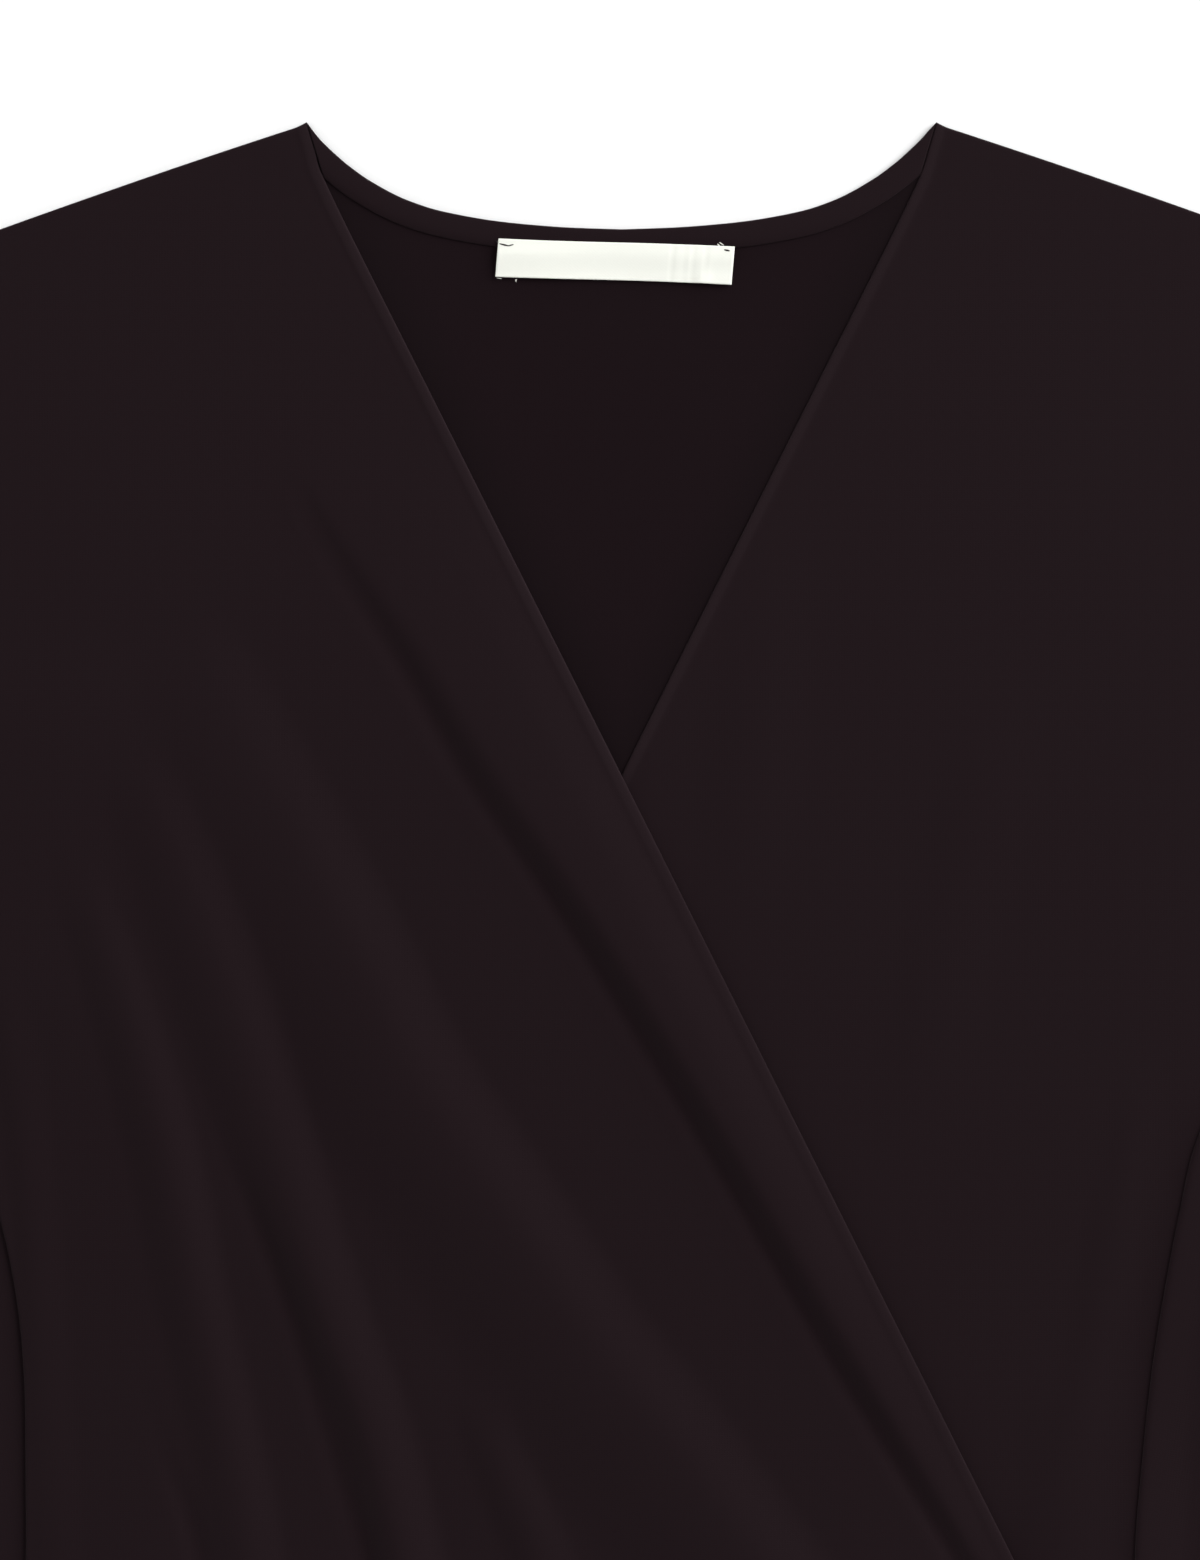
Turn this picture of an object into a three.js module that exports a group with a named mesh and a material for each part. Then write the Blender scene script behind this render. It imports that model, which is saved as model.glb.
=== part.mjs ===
// A black jersey wrap top with a V neck and long sleeves, laid out flat on its back.
// Millimetres. X runs to the wearer's left, Y from hem to neck, Z up from the surface it lies on.
import * as THREE from "three";

// Cloth
const WALL = 1.2; // one layer of cloth
const LAY = 0.4; // room between two layers that lie on each other
const SEAM = 0.3; // room between two edges that are sewn together
const LAYER = WALL + LAY;
const SETTLE = 45; // how far cloth takes to come down beside a layer's edge
const BODY_SETTLE = 62; // how far the whole body takes to come down beside a sleeve
const SLACK = 0.4; // more room between layers halfway down
const TOUCH = 5; // cloth stays up this far past a layer's edge

// Body, with Y = 0 at the neck ends of the shoulder seams
const NECK_HALF = 94.6;
const SHOULDER_SLOPE = 0.325;
const SHOULDER_BEND = 0.0002;
const SHOULDER_HALF = 205;
const UNDERARM_Y = -250;
const LENGTH = 640;
const HEM_BOW = 3; // the hem is this much lower at its middle
const WRAP_SLOPE = 0.5; // the wrap edges run this far sideways for each millimetre down
const WRAP_START = 97.65; // where a wrap edge's straight line would meet the neck's level
const WRAP_END_Y = -571; // where a wrap edge runs into the side seam

// Neck band and label
const BAND_WIDTH = 7.6;
const BAND_WALL = 1;
const BAND_HALF = 91;
const BAND_CLEAR = 0.8; // from the band's ends to the wrap edges
const LABEL = { wide: 71, high: 11.5, x: -1.95, y: -41.1, turn: -0.034, wall: 1 };
const LABEL_STEP = { start: 1.5, run: 4.5 }; // where the label comes down off the band

// Sleeves
const CUFF_Y = -610;

// Cells of each piece's wall, along and across
const ARMHOLE_STEPS = 10;
const SIDE_STEPS = 22;
const ROW_STEPS = ARMHOLE_STEPS + SIDE_STEPS;
const WRAP_STEPS = 28;
const OVER_COLUMNS = 26;
const UNDER_COLUMNS = 18;
const SHOULDER_COLUMNS = 5;
const NECK_COLUMNS = 12;
const SLEEVE_ROWS = 17;
const EDGE_GRADING = 1.3; // above 1, columns come closer together towards the wrap edge
const UNDERARM_GRADING = 1.8; // above 1, a sleeve's rows fan out from the underarm

// Half of the back neck, from the middle to the neck end of the shoulder seam
const NECK = [
  { x: 0, y: -31.8 },
  { x: 19, y: -31.2 },
  { x: 38, y: -29.4 },
  { x: 53, y: -26.4 },
  { x: 67.9, y: -21.6 },
  { x: 75.4, y: -17.5 },
  { x: 84.4, y: -10.6 },
  { x: 90.5, y: -4.8 },
  { x: NECK_HALF, y: 0 },
];

// One armhole, from the shoulder to the underarm
const ARMHOLE = [
  { x: SHOULDER_HALF, y: shoulderY(SHOULDER_HALF) },
  { x: 203.5, y: -90 },
  { x: 204.5, y: -145 },
  { x: 209, y: -195 },
  { x: 214.5, y: -225 },
  { x: 220, y: UNDERARM_Y },
];

// One side seam, from the underarm to the hem
const SIDE = [
  { x: 220, y: UNDERARM_Y },
  { x: 206.5, y: -275 },
  { x: 195.5, y: -300 },
  { x: 187.5, y: -325 },
  { x: 182, y: -350 },
  { x: 179.4, y: -375 },
  { x: 178.9, y: -405 },
  { x: 179, y: -440 },
  { x: 181.5, y: -500 },
  { x: 187.7, y: -570 },
  { x: 195, y: -LENGTH },
];

// A sleeve's outer fold, from the shoulder to the cuff
const SLEEVE_OUTER = [
  { x: SHOULDER_HALF, y: shoulderY(SHOULDER_HALF) },
  { x: 240, y: -53 },
  { x: 272, y: -80 },
  { x: 297, y: -122 },
  { x: 312, y: -175 },
  { x: 319, y: -235 },
  { x: 317, y: -300 },
  { x: 308, y: -370 },
  { x: 296, y: -440 },
  { x: 284, y: -510 },
  { x: 273, y: -570 },
  { x: 266, y: CUFF_Y + 2 },
];

// The inner fold of the left sleeve, which lies over the body's side
const INNER_OVER = [
  { x: 220, y: UNDERARM_Y },
  { x: 203, y: -262 },
  { x: 186, y: -280 },
  { x: 172.6, y: -305 },
  { x: 167.6, y: -326 },
  { x: 163, y: -350 },
  { x: 159.2, y: -374 },
  { x: 156.2, y: -401 },
  { x: 153.8, y: -431 },
  { x: 153.5, y: -480 },
  { x: 157, y: -530 },
  { x: 164, y: -580 },
  { x: 171, y: CUFF_Y },
];

// The inner fold of the right sleeve, which lies under the body's side
const INNER_UNDER = [
  { x: 220, y: UNDERARM_Y },
  { x: 219.5, y: -260 },
  { x: 208, y: -280 },
  { x: 197.5, y: -299 },
  { x: 187, y: -319 },
  { x: 177, y: -340 },
  { x: 170, y: -370 },
  { x: 166, y: -400 },
  { x: 165, y: -431 },
  { x: 166, y: -480 },
  { x: 170, y: -530 },
  { x: 174, y: -580 },
  { x: 176, y: CUFF_Y },
];
const UNDER_REACH = 162; // the body is fully raised on the right sleeve beyond this

// Soft folds: the ends of each crest, how far its middle bows to +X, its half width at both ends and its height
const OVER_FOLDS = [
  { x0: -70, y0: -100, x1: 150, y1: -515, bow: 5, wide0: 22, wide1: 8, high: 4 },
  { x0: -112, y0: -160, x1: 128, y1: -545, bow: -15, wide0: 20, wide1: 26, high: 3.6 },
  { x0: -134, y0: -192, x1: -22, y1: -600, bow: 12, wide0: 15, wide1: 24, high: 3.2 },
  { x0: -153, y0: -225, x1: -85, y1: -605, bow: 12, wide0: 12, wide1: 20, high: 2.6 },
  { x0: -181, y0: -255, x1: -158, y1: -500, bow: 0, wide0: 10, wide1: 12, high: 1 },
  { x0: -36, y0: -380, x1: 2, y1: -480, bow: 0, wide0: 9, wide1: 12, high: 1.2 },
];
const UNDER_FOLDS = [
  { x0: 156, y0: -290, x1: 142, y1: -395, bow: 2, wide0: 8, wide1: 9, high: 1 },
  { x0: 52, y0: -145, x1: 44, y1: -230, bow: 0, wide0: 14, wide1: 16, high: 0.8 },
  { x0: 119, y0: -185, x1: 97, y1: -285, bow: 0, wide0: 14, wide1: 16, high: 0.7 },
];
const LEFT_SLEEVE_FOLDS = [
  { x0: 230, y0: -95, x1: 250, y1: -430, bow: 10, wide0: 14, wide1: 20, high: 3 },
  { x0: 276, y0: -150, x1: 230, y1: -560, bow: 18, wide0: 14, wide1: 16, high: 2.4 },
  { x0: 210, y0: -310, x1: 200, y1: -545, bow: -3, wide0: 12, wide1: 14, high: 2 },
];
const RIGHT_SLEEVE_FOLDS = [
  { x0: -234, y0: -110, x1: -254, y1: -450, bow: -12, wide0: 15, wide1: 18, high: 3.2 },
  { x0: -282, y0: -170, x1: -236, y1: -540, bow: -16, wide0: 12, wide1: 16, high: 2.2 },
  { x0: -212, y0: -330, x1: -208, y1: -530, bow: 0, wide0: 12, wide1: 14, high: 1.6 },
];
const FOLD_RISE = 0.22; // the share of its length over which a fold rises
const FOLD_FALL = 0.16; // and over which it dies away
const FOLD_LIMIT_X = 150; // no fold of the over front reaches past this under the left sleeve
const FOLD_FADE = 22;

const JERSEY = { color: 0x21181b, roughness: 0.85, metalness: 0 };
const SATIN = { color: 0xf4f5ed, roughness: 0.45, metalness: 0 };

function smooth(value) {
  return THREE.MathUtils.smoothstep(value, 0, 1);
}

function shoulderY(x) {
  const out = Math.abs(x) - NECK_HALF;
  return -(SHOULDER_SLOPE * out + SHOULDER_BEND * out * out);
}

// Points along a smooth curve through a table's rows, evenly spaced unless graded, which crowds them at the start
function along(rows, steps, grading = 1) {
  const curve = new THREE.SplineCurve(rows.map((row) => new THREE.Vector2(row.x, row.y)));
  const points = [];
  for (let step = 0; step <= steps; step++) points.push(curve.getPointAt((step / steps) ** grading));
  return points;
}

function mirrored(points) {
  return points.map((point) => new THREE.Vector2(-point.x, point.y));
}

// Two runs of points that share an end
function joined(first, second) {
  return [...first, ...second.slice(1)];
}

// The x at which a table's curve has the height y
function xAt(rows, y) {
  const next = rows.findIndex((row) => row.y <= y);
  if (next < 1) return rows[next === 0 ? 0 : rows.length - 1].x;
  const above = rows[next - 1];
  const below = rows[next];
  return THREE.MathUtils.mapLinear(y, above.y, below.y, above.x, below.x);
}

// The edge of the body's side at the height y, armhole included
function bodyHalf(y) {
  return y > UNDERARM_Y ? xAt(ARMHOLE, y) : xAt(SIDE, y);
}

// How far the over front reaches to +X at the height y
function wrapX(y) {
  return -WRAP_START - WRAP_SLOPE * y;
}

// The crest height of a table's folds at a point
function foldHeight(folds, x, y) {
  let height = 0;
  for (const fold of folds) {
    const runX = fold.x1 - fold.x0;
    const runY = fold.y1 - fold.y0;
    const length = Math.hypot(runX, runY);
    const share = ((x - fold.x0) * runX + (y - fold.y0) * runY) / length ** 2;
    if (share <= 0 || share >= 1) continue;
    const aside = ((y - fold.y0) * runX - (x - fold.x0) * runY) / length;
    const offset = aside - fold.bow * 4 * share * (1 - share);
    const width = THREE.MathUtils.lerp(fold.wide0, fold.wide1, share);
    const across = Math.max(0, 1 - (offset / width) ** 2) ** 2;
    const rise = smooth(share / FOLD_RISE) * smooth((1 - share) / FOLD_FALL);
    height += fold.high * across * rise;
  }
  return height;
}

// 1 inside an edge, 0 beyond the cloth's settling, from the distance inside it
function covered(inside) {
  return smooth((inside + TOUCH + SETTLE) / SETTLE);
}

// The room that halfway stages leave between layers, from 0 where the cloth is down or up
function slack(stage) {
  return SLACK * 4 * stage * (1 - stage);
}

// How far the body is up on the right sleeve's inner fold, from 0 to 1
function bodyRaised(x, y) {
  const sideways = smooth((-x - UNDER_REACH + BODY_SETTLE) / BODY_SETTLE);
  const down = smooth((UNDERARM_Y - 8 - y) / 55);
  return sideways * down;
}

function bodyBase(x, y) {
  return 2 * LAYER * bodyRaised(x, y);
}

const edgeLength = Math.hypot(1, WRAP_SLOPE);

function underFrontBase(x, y) {
  return bodyBase(x, y) + slack(bodyRaised(x, y)) + LAYER + foldHeight(UNDER_FOLDS, x, y);
}

function overFrontBase(x, y) {
  const overUnder = covered((x + wrapX(y)) / edgeLength);
  const folds = foldHeight(OVER_FOLDS, x, y) * smooth((FOLD_LIMIT_X - x) / FOLD_FADE);
  const body = bodyBase(x, y) + 2 * slack(bodyRaised(x, y)) + LAYER;
  return body + LAYER * overUnder + slack(overUnder) + foldHeight(UNDER_FOLDS, x, y) * overUnder + folds;
}

// How high the left sleeve lies on the body's side
function leftSleeveBase(x, y) {
  const low = smooth((-y - 130) / 55);
  const near = covered(bodyHalf(y) - x);
  const overWrap = covered((wrapX(y) - x) / edgeLength);
  const body = LAYER * (2 + overWrap) + slack(overWrap) + foldHeight(UNDER_FOLDS, x, y);
  return low * near * body;
}

// A wall over the plan between four runs of points: left and right run down, top and bottom run to +X.
// An even blend of the four runs gives the plan's rows and columns.
function planOf({ left, right, top, bottom }) {
  const rows = left.length - 1;
  const columns = top.length - 1;
  const at = (row, column) => {
    const v = row / rows;
    const u = column / columns;
    const point = new THREE.Vector2();
    point.addScaledVector(left[row], 1 - u).addScaledVector(right[row], u);
    point.addScaledVector(top[column], 1 - v).addScaledVector(bottom[column], v);
    point.addScaledVector(top[0], -(1 - u) * (1 - v)).addScaledVector(top[columns], -u * (1 - v));
    point.addScaledVector(bottom[0], -(1 - u) * v).addScaledVector(bottom[columns], -u * v);
    return point;
  };
  return { rows, columns, at };
}

// A closed mesh from points and faces of three or four corners
function closedMesh(name, points, faces, look) {
  const triangles = [];
  for (const [a, b, c, d] of faces) {
    triangles.push(a, b, c);
    if (d !== undefined) triangles.push(a, c, d);
  }
  const geometry = new THREE.BufferGeometry().setFromPoints(points);
  geometry.setIndex(triangles);
  geometry.computeVertexNormals();
  const mesh = new THREE.Mesh(geometry, new THREE.MeshStandardMaterial(look));
  mesh.name = name;
  return mesh;
}

// One layer of cloth over a plan, with its underside at the height that baseAt gives
function sheet(name, plan, baseAt, wall, look) {
  const { rows, columns, at } = plan;
  const wide = columns + 1;
  const count = (rows + 1) * wide;
  const under = [];
  for (let row = 0; row <= rows; row++) {
    for (let column = 0; column <= columns; column++) {
      const point = at(row, column);
      under.push(new THREE.Vector3(point.x, point.y, baseAt(point.x, point.y)));
    }
  }
  const over = under.map((point) => point.clone().setZ(point.z + wall));
  const faces = [];
  for (let row = 0; row < rows; row++) {
    for (let column = 0; column < columns; column++) {
      const a = row * wide + column;
      const b = a + wide;
      faces.push([a, a + 1, b + 1, b]);
      faces.push([count + a, count + b, count + b + 1, count + a + 1]);
    }
  }
  const rim = (from, to) => faces.push([from, to, count + to, count + from]);
  for (let column = 0; column < columns; column++) {
    rim(column + 1, column);
    rim(rows * wide + column, rows * wide + column + 1);
  }
  for (let row = 0; row < rows; row++) {
    rim(row * wide, (row + 1) * wide);
    rim((row + 1) * wide + columns, row * wide + columns);
  }
  return closedMesh(name, [...under, ...over], faces, look);
}

// A tube of cloth pressed flat over a plan, open at its first and last row.
// Its lower layer lies at the height that baseAt gives, and its upper one rises in the folds.
function flatTube(name, plan, baseAt, folds, look) {
  const { rows, columns, at } = plan;
  const rings = [];
  for (let row = 0; row <= rows; row++) {
    const spots = [];
    for (let column = 0; column <= columns; column++) spots.push(at(row, column));
    const width = spots[0].distanceTo(spots[columns]);
    const inset = spots.map((spot, column) => {
      const share = THREE.MathUtils.mapLinear(column, 0, columns, WALL / width, 1 - WALL / width);
      return at(row, share * columns);
    });
    const level = (spot, rise, lift) =>
      new THREE.Vector3(spot.x, spot.y, baseAt(spot.x, spot.y) + rise + lift);
    const puff = (spot) => foldHeight(folds, spot.x, spot.y);
    const outer = [
      ...spots.map((spot) => level(spot, 0, 0)),
      ...spots.map((spot) => level(spot, LAYER + WALL, puff(spot))).reverse(),
    ];
    const inner = [
      ...inset.map((spot) => level(spot, WALL, 0)),
      ...inset.map((spot) => level(spot, LAYER, puff(spot))).reverse(),
    ];
    rings.push({ outer, inner });
  }
  const around = rings[0].outer.length;
  const points = [...rings.flatMap((ring) => ring.outer), ...rings.flatMap((ring) => ring.inner)];
  const start = (rows + 1) * around; // the first point of the inner skin
  const faces = [];
  for (let step = 0; step < around; step++) {
    const next = (step + 1) % around;
    for (let row = 0; row < rows; row++) {
      const a = row * around;
      const b = a + around;
      faces.push([a + step, a + next, b + next, b + step]);
      faces.push([start + a + step, start + b + step, start + b + next, start + a + next]);
    }
    const last = rows * around;
    faces.push([step, start + step, start + next, next]);
    faces.push([last + step, last + next, start + last + next, start + last + step]);
  }
  return closedMesh(name, points, faces, look);
}

// Points on the straight line between two points, closer together towards the end if graded
function straight(from, to, steps, grading = 1) {
  const points = [];
  for (let step = 0; step <= steps; step++) {
    const share = 1 - (1 - step / steps) ** grading;
    points.push(from.clone().lerp(to, share));
  }
  return points;
}

// The hem from side to side, a little lower in the middle
function hemPoints(steps, grading = 1) {
  const corner = new THREE.Vector2(SIDE.at(-1).x, -LENGTH + HEM_BOW);
  const points = straight(corner.clone().setX(-corner.x), corner, steps, grading);
  for (const point of points) point.y -= HEM_BOW * (1 - (point.x / corner.x) ** 2);
  return points;
}

// The shoulder seam from its outer end to the neck
function shoulderPoints(steps, grading = 1) {
  const outer = new THREE.Vector2(-SHOULDER_HALF, 0);
  const points = straight(outer, new THREE.Vector2(-NECK_HALF, 0), steps, grading);
  for (const point of points) point.y = shoulderY(point.x);
  return points;
}

// The right edge of a front that starts at the wearer's right shoulder: its wrap edge, then the far side seam
function wrapPoints() {
  const rows = [
    { x: -NECK_HALF, y: 0 },
    { x: -91.8, y: -8 },
    { x: -86.3, y: -22.8 },
    { x: wrapX(-100), y: -100 },
    { x: wrapX(-300), y: -300 },
    { x: wrapX(-480), y: -480 },
    { x: xAt(SIDE, WRAP_END_Y), y: WRAP_END_Y },
  ];
  const foot = [rows.at(-1), { x: SIDE.at(-1).x, y: -LENGTH + HEM_BOW }];
  return joined(along(rows, WRAP_STEPS), along(foot, ROW_STEPS - WRAP_STEPS));
}

// One side of the body, armhole and side seam, on the wearer's left
const sideRows = [...SIDE.slice(0, -1), { x: SIDE.at(-1).x, y: -LENGTH + HEM_BOW }];
const armholePoints = along(ARMHOLE, ARMHOLE_STEPS);
const leftSide = joined(armholePoints, along(sideRows, SIDE_STEPS));
const rightSide = mirrored(leftSide);

function backPanel() {
  const rightShoulder = shoulderPoints(SHOULDER_COLUMNS);
  const leftHalf = along(NECK, NECK_COLUMNS / 2);
  const neck = joined(mirrored(leftHalf).reverse(), leftHalf);
  const top = joined(joined(rightShoulder, neck), mirrored(rightShoulder).reverse());
  const plan = planOf({ left: rightSide, right: leftSide, top, bottom: hemPoints(top.length - 1) });
  return sheet("back_panel", plan, bodyBase, WALL, JERSEY);
}

function rightFront() {
  const top = shoulderPoints(OVER_COLUMNS, EDGE_GRADING);
  const bottom = hemPoints(OVER_COLUMNS, EDGE_GRADING);
  const plan = planOf({ left: rightSide, right: wrapPoints(), top, bottom });
  return sheet("right_front_over", plan, overFrontBase, WALL, JERSEY);
}

function leftFront() {
  const top = mirrored(shoulderPoints(UNDER_COLUMNS)).reverse();
  const bottom = hemPoints(UNDER_COLUMNS);
  const plan = planOf({ left: mirrored(wrapPoints()), right: leftSide, top, bottom });
  return sheet("left_front_under", plan, underFrontBase, WALL, JERSEY);
}

// The armhole seam parts the sleeve from the body, from the underarm to the shoulder
function sleeveHead() {
  return armholePoints.map((point) => new THREE.Vector2(point.x + SEAM, point.y)).reverse();
}

// A sleeve on the wearer's left; its first side is the inner fold
function sleevePlan(innerRows) {
  const top = sleeveHead();
  const inner = along(innerRows, SLEEVE_ROWS, UNDERARM_GRADING);
  const outer = along(SLEEVE_OUTER, SLEEVE_ROWS);
  inner[0].copy(top[0]);
  outer[0].copy(top.at(-1));
  const bottom = straight(inner.at(-1), outer.at(-1), top.length - 1);
  return { left: inner, right: outer, top, bottom };
}

// Four runs made finer, so that points between the rows and columns can be asked for
function evenBlend(plan) {
  const whole = planOf(plan);
  return {
    ...whole,
    at: (row, column) => {
      const before = Math.min(Math.floor(column), whole.columns - 1);
      return whole.at(row, before).lerp(whole.at(row, before + 1), column - before);
    },
  };
}

function leftSleeve() {
  const plan = evenBlend(sleevePlan(INNER_OVER));
  return flatTube("left_sleeve", plan, leftSleeveBase, LEFT_SLEEVE_FOLDS, JERSEY);
}

function rightSleeve() {
  const { left: inner, right: outer, top, bottom } = sleevePlan(INNER_UNDER);
  const plan = evenBlend({
    left: mirrored(outer),
    right: mirrored(inner),
    top: mirrored(top).reverse(),
    bottom: mirrored(bottom).reverse(),
  });
  return flatTube("right_sleeve", plan, () => 0, RIGHT_SLEEVE_FOLDS, JERSEY);
}

// The band round the inside of the back neck, just clear of the wrap edges
function bandPoints(inset, steps) {
  const half = along(NECK, 60);
  const line = joined(mirrored(half).reverse(), half);
  const moved = line.map((point, index) => {
    const before = line[Math.max(index - 1, 0)];
    const after = line[Math.min(index + 1, line.length - 1)];
    const run = after.clone().sub(before).normalize();
    return new THREE.Vector2(point.x + run.y * inset, point.y - run.x * inset);
  });
  const edge = (y) => (y > -22.8 ? THREE.MathUtils.mapLinear(y, 0, -22.8, NECK_HALF, 86.3) : -wrapX(y));
  const shown = moved.filter(
    (point) => Math.abs(point.x) < BAND_HALF && Math.abs(point.x) < edge(point.y) - BAND_CLEAR,
  );
  return new THREE.SplineCurve(shown).getSpacedPoints(steps);
}

function neckBand() {
  const steps = 24;
  const top = bandPoints(0, steps);
  const bottom = bandPoints(BAND_WIDTH, steps);
  const plan = planOf({
    left: [top[0], bottom[0]],
    right: [top[steps], bottom[steps]],
    top,
    bottom,
  });
  return sheet("back_neck_band", plan, () => LAYER, BAND_WALL, JERSEY);
}

function label() {
  const columns = 12;
  const rows = 6;
  const corner = (right, down) => {
    const point = new THREE.Vector2((right - 0.5) * LABEL.wide, (0.5 - down) * LABEL.high);
    const centre = new THREE.Vector2(LABEL.x, LABEL.y);
    return point.rotateAround(new THREE.Vector2(), LABEL.turn).add(centre);
  };
  const plan = planOf({
    left: straight(corner(0, 0), corner(0, 1), rows),
    right: straight(corner(1, 0), corner(1, 1), rows),
    top: straight(corner(0, 0), corner(1, 0), columns),
    bottom: straight(corner(0, 1), corner(1, 1), columns),
  });
  const bandEdge = NECK[0].y - BAND_WIDTH;
  const base = (x, y) => {
    const below = bandEdge + 1.8 - y;
    const onBand = smooth(1 - (below - LABEL_STEP.start) / LABEL_STEP.run);
    return LAYER + (BAND_WALL + LAY) * onBand;
  };
  return sheet("neck_label", plan, base, LABEL.wall, SATIN);
}

const top = new THREE.Group();
top.name = "wrap_top";
top.add(backPanel(), rightFront(), leftFront(), leftSleeve(), rightSleeve(), neckBand(), label());
top.position.y = LENGTH / 2;

export default top;
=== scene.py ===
"""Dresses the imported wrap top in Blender: panels, sleeves, neck band, label, seams and stitches."""

import math
from typing import NamedTuple

import bmesh
import bpy
import numpy as np
from mathutils import Matrix, Vector
from mathutils.bvhtree import BVHTree


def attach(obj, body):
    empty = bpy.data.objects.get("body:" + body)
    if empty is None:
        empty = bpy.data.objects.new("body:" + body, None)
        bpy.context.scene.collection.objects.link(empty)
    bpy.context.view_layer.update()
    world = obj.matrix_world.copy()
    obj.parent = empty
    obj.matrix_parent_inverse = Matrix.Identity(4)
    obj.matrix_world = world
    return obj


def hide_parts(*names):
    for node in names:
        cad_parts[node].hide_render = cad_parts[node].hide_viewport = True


bl_info = {
    "name": "Wrap top",
    "version": (1, 0, 0),
    "blender": (4, 5, 0),
    "location": "View3D > Sidebar > Wrap top",
    "description": "Builds a laid jersey wrap top round its packed solids",
    "category": "Object",
}

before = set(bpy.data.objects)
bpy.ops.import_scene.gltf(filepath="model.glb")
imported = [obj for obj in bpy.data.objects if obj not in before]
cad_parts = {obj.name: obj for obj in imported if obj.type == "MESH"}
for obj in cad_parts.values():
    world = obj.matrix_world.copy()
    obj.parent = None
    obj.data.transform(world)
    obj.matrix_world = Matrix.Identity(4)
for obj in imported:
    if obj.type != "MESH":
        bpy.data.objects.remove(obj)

MM = 0.001
LIFT_Y = 320.0  # the row frame's Y at the neck ends of the shoulder seams, in millimetres


# Tables, in millimetres, with y = 0 at the neck ends of the shoulder seams


class Spot(NamedTuple):
    """A point of an outline."""

    x: float
    y: float


class Crest(NamedTuple):
    """A point on a fold's line: its half width on the -X and the +X side, and its height."""

    x: float
    y: float
    left: float
    right: float
    high: float


class Tack(NamedTuple):
    """A thread at the label: its two ends, in shares of the label's size, and its thickness."""

    across: float
    down: float
    across_end: float
    down_end: float
    thick: float


NECK_HALF = 94.6
SHOULDER_SLOPE = 0.325
SHOULDER_BEND = 0.0002
SHOULDER_LIFT = 0.3
SHOULDER_TIP = 0.6
NECK_LIFT = 0.65  # how much higher the neck edge runs on the wearer's left
SHOULDER_HALF = 205.0
UNDERARM_Y = -250.0
LENGTH = 640.0
HEM_BOW = 3.0
WRAP_SLOPE = 0.5
WRAP_START = 97.65
WRAP_END_Y = -571.0
WRAP_RUN = math.hypot(1, WRAP_SLOPE)
CUFF_Y = -610.0
CUFF_TURN_Y = -583.0  # above the right cuff's turned part
LAYER = 0.62  # from one layer of cloth to the next
ON_BACK = 0.58  # the height of what lies on the back's inside
TOUCH = 5.0  # how far beyond an edge the cloth above it is still fully up
SETTLE = 45.0  # in which the cloth comes down beyond an edge
SLACK = 0.15  # how much it bows up there
SLACK_HEIGHT = 0.9  # how high the over front stands off what it lies on, away from its edges
BODY_UP_X = 162.0  # the body lies on the right sleeve's inner fold beyond this, and below BODY_UP_Y
BODY_UP_Y = -150.0
BODY_SETTLE = 62.0
SLEEVE_UP_Y = -120.0  # below this the left sleeve is up on the body
SLEEVE_CLEARANCE = 0.06  # between the left sleeve and the body under it
OVER_HEMS_Y = -560.0  # below this the left sleeve comes up on the body's hems
EDGE_LIFT = 0.3  # how far it comes up on them, and on the over front's turned edge
SLEEVE_PUFF = 0.5
ARMHOLE_GAP = 0.06  # between a sleeve's head and the body
HOLLOW = 0.05  # half the gap between a sleeve's two layers
FOLD_SINK = 0.6  # the share of a sleeve fold's radius by which its edge lies low
EDGE_ROUND = 0.8  # a panel's upper side rounds off over this much at its edges
EDGE_FALL = 0.75  # and falls by this share of its thickness
UNDER_RIM_END = 214.0  # from the shoulder, to where the under front's turned edge is covered
SHADE_WIDTH = 17.0  # of the painted shade on the back, beside the wrap edges
BAND_WIDTH = 7.6
BAND_LENGTH = 200.0
BAND_GAP = 0.05  # between the band's ends and the fronts
BAND_HEIGHT = 0.82
BAND_ROLL = 0.18
BAND_PULL = 0.3  # how far its stitches pull the band's lower edge down
LABEL_MIDDLE = Spot(-1.95, -41.1)
LABEL_SHEAR = 0.05
NEEDLE_INSET = 1.5  # from a turned edge to its first row of stitches
THREAD_WIDTH = 0.45
THREAD_HEIGHT = 0.3
HEM_UNDER_SLEEVE = 30.0  # how far the hem's stitches run on under the left sleeve
CUFF_RUN = 580.0  # the length that places the cuffs' stitches

# Cells of the panels and sleeves, and how far from an edge their first rows are
BACK_CELLS = (150, 130)
UNDER_CELLS = (150, 110)
OVER_CELLS = (210, 170)
SLEEVE_CELLS = (110, 64)
NEAR_EDGE = [0.0, 0.08, 0.28, 0.6, 1.1, 1.8, 2.6, 3.3, 4.1, 5.2]


def shoulder_y(x):
    """The shoulder seam's height at x, with a small tip at its neck end."""
    out = np.abs(x) - NECK_HALF
    tip = SHOULDER_LIFT + SHOULDER_TIP * np.maximum(1 - out / 4, 0) ** 2
    return tip - (SHOULDER_SLOPE * out + SHOULDER_BEND * out * out)


NECK = [
    Spot(0, -31.35),
    Spot(19, -30.6),
    Spot(38, -28.8),
    Spot(53, -26.1),
    Spot(61, -23.8),
    Spot(67.9, -21.0),
    Spot(75.4, -16.85),
    Spot(80, -13.7),
    Spot(84.4, -10.2),
    Spot(90.5, -4.4),
    Spot(NECK_HALF, float(shoulder_y(NECK_HALF))),
]

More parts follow.
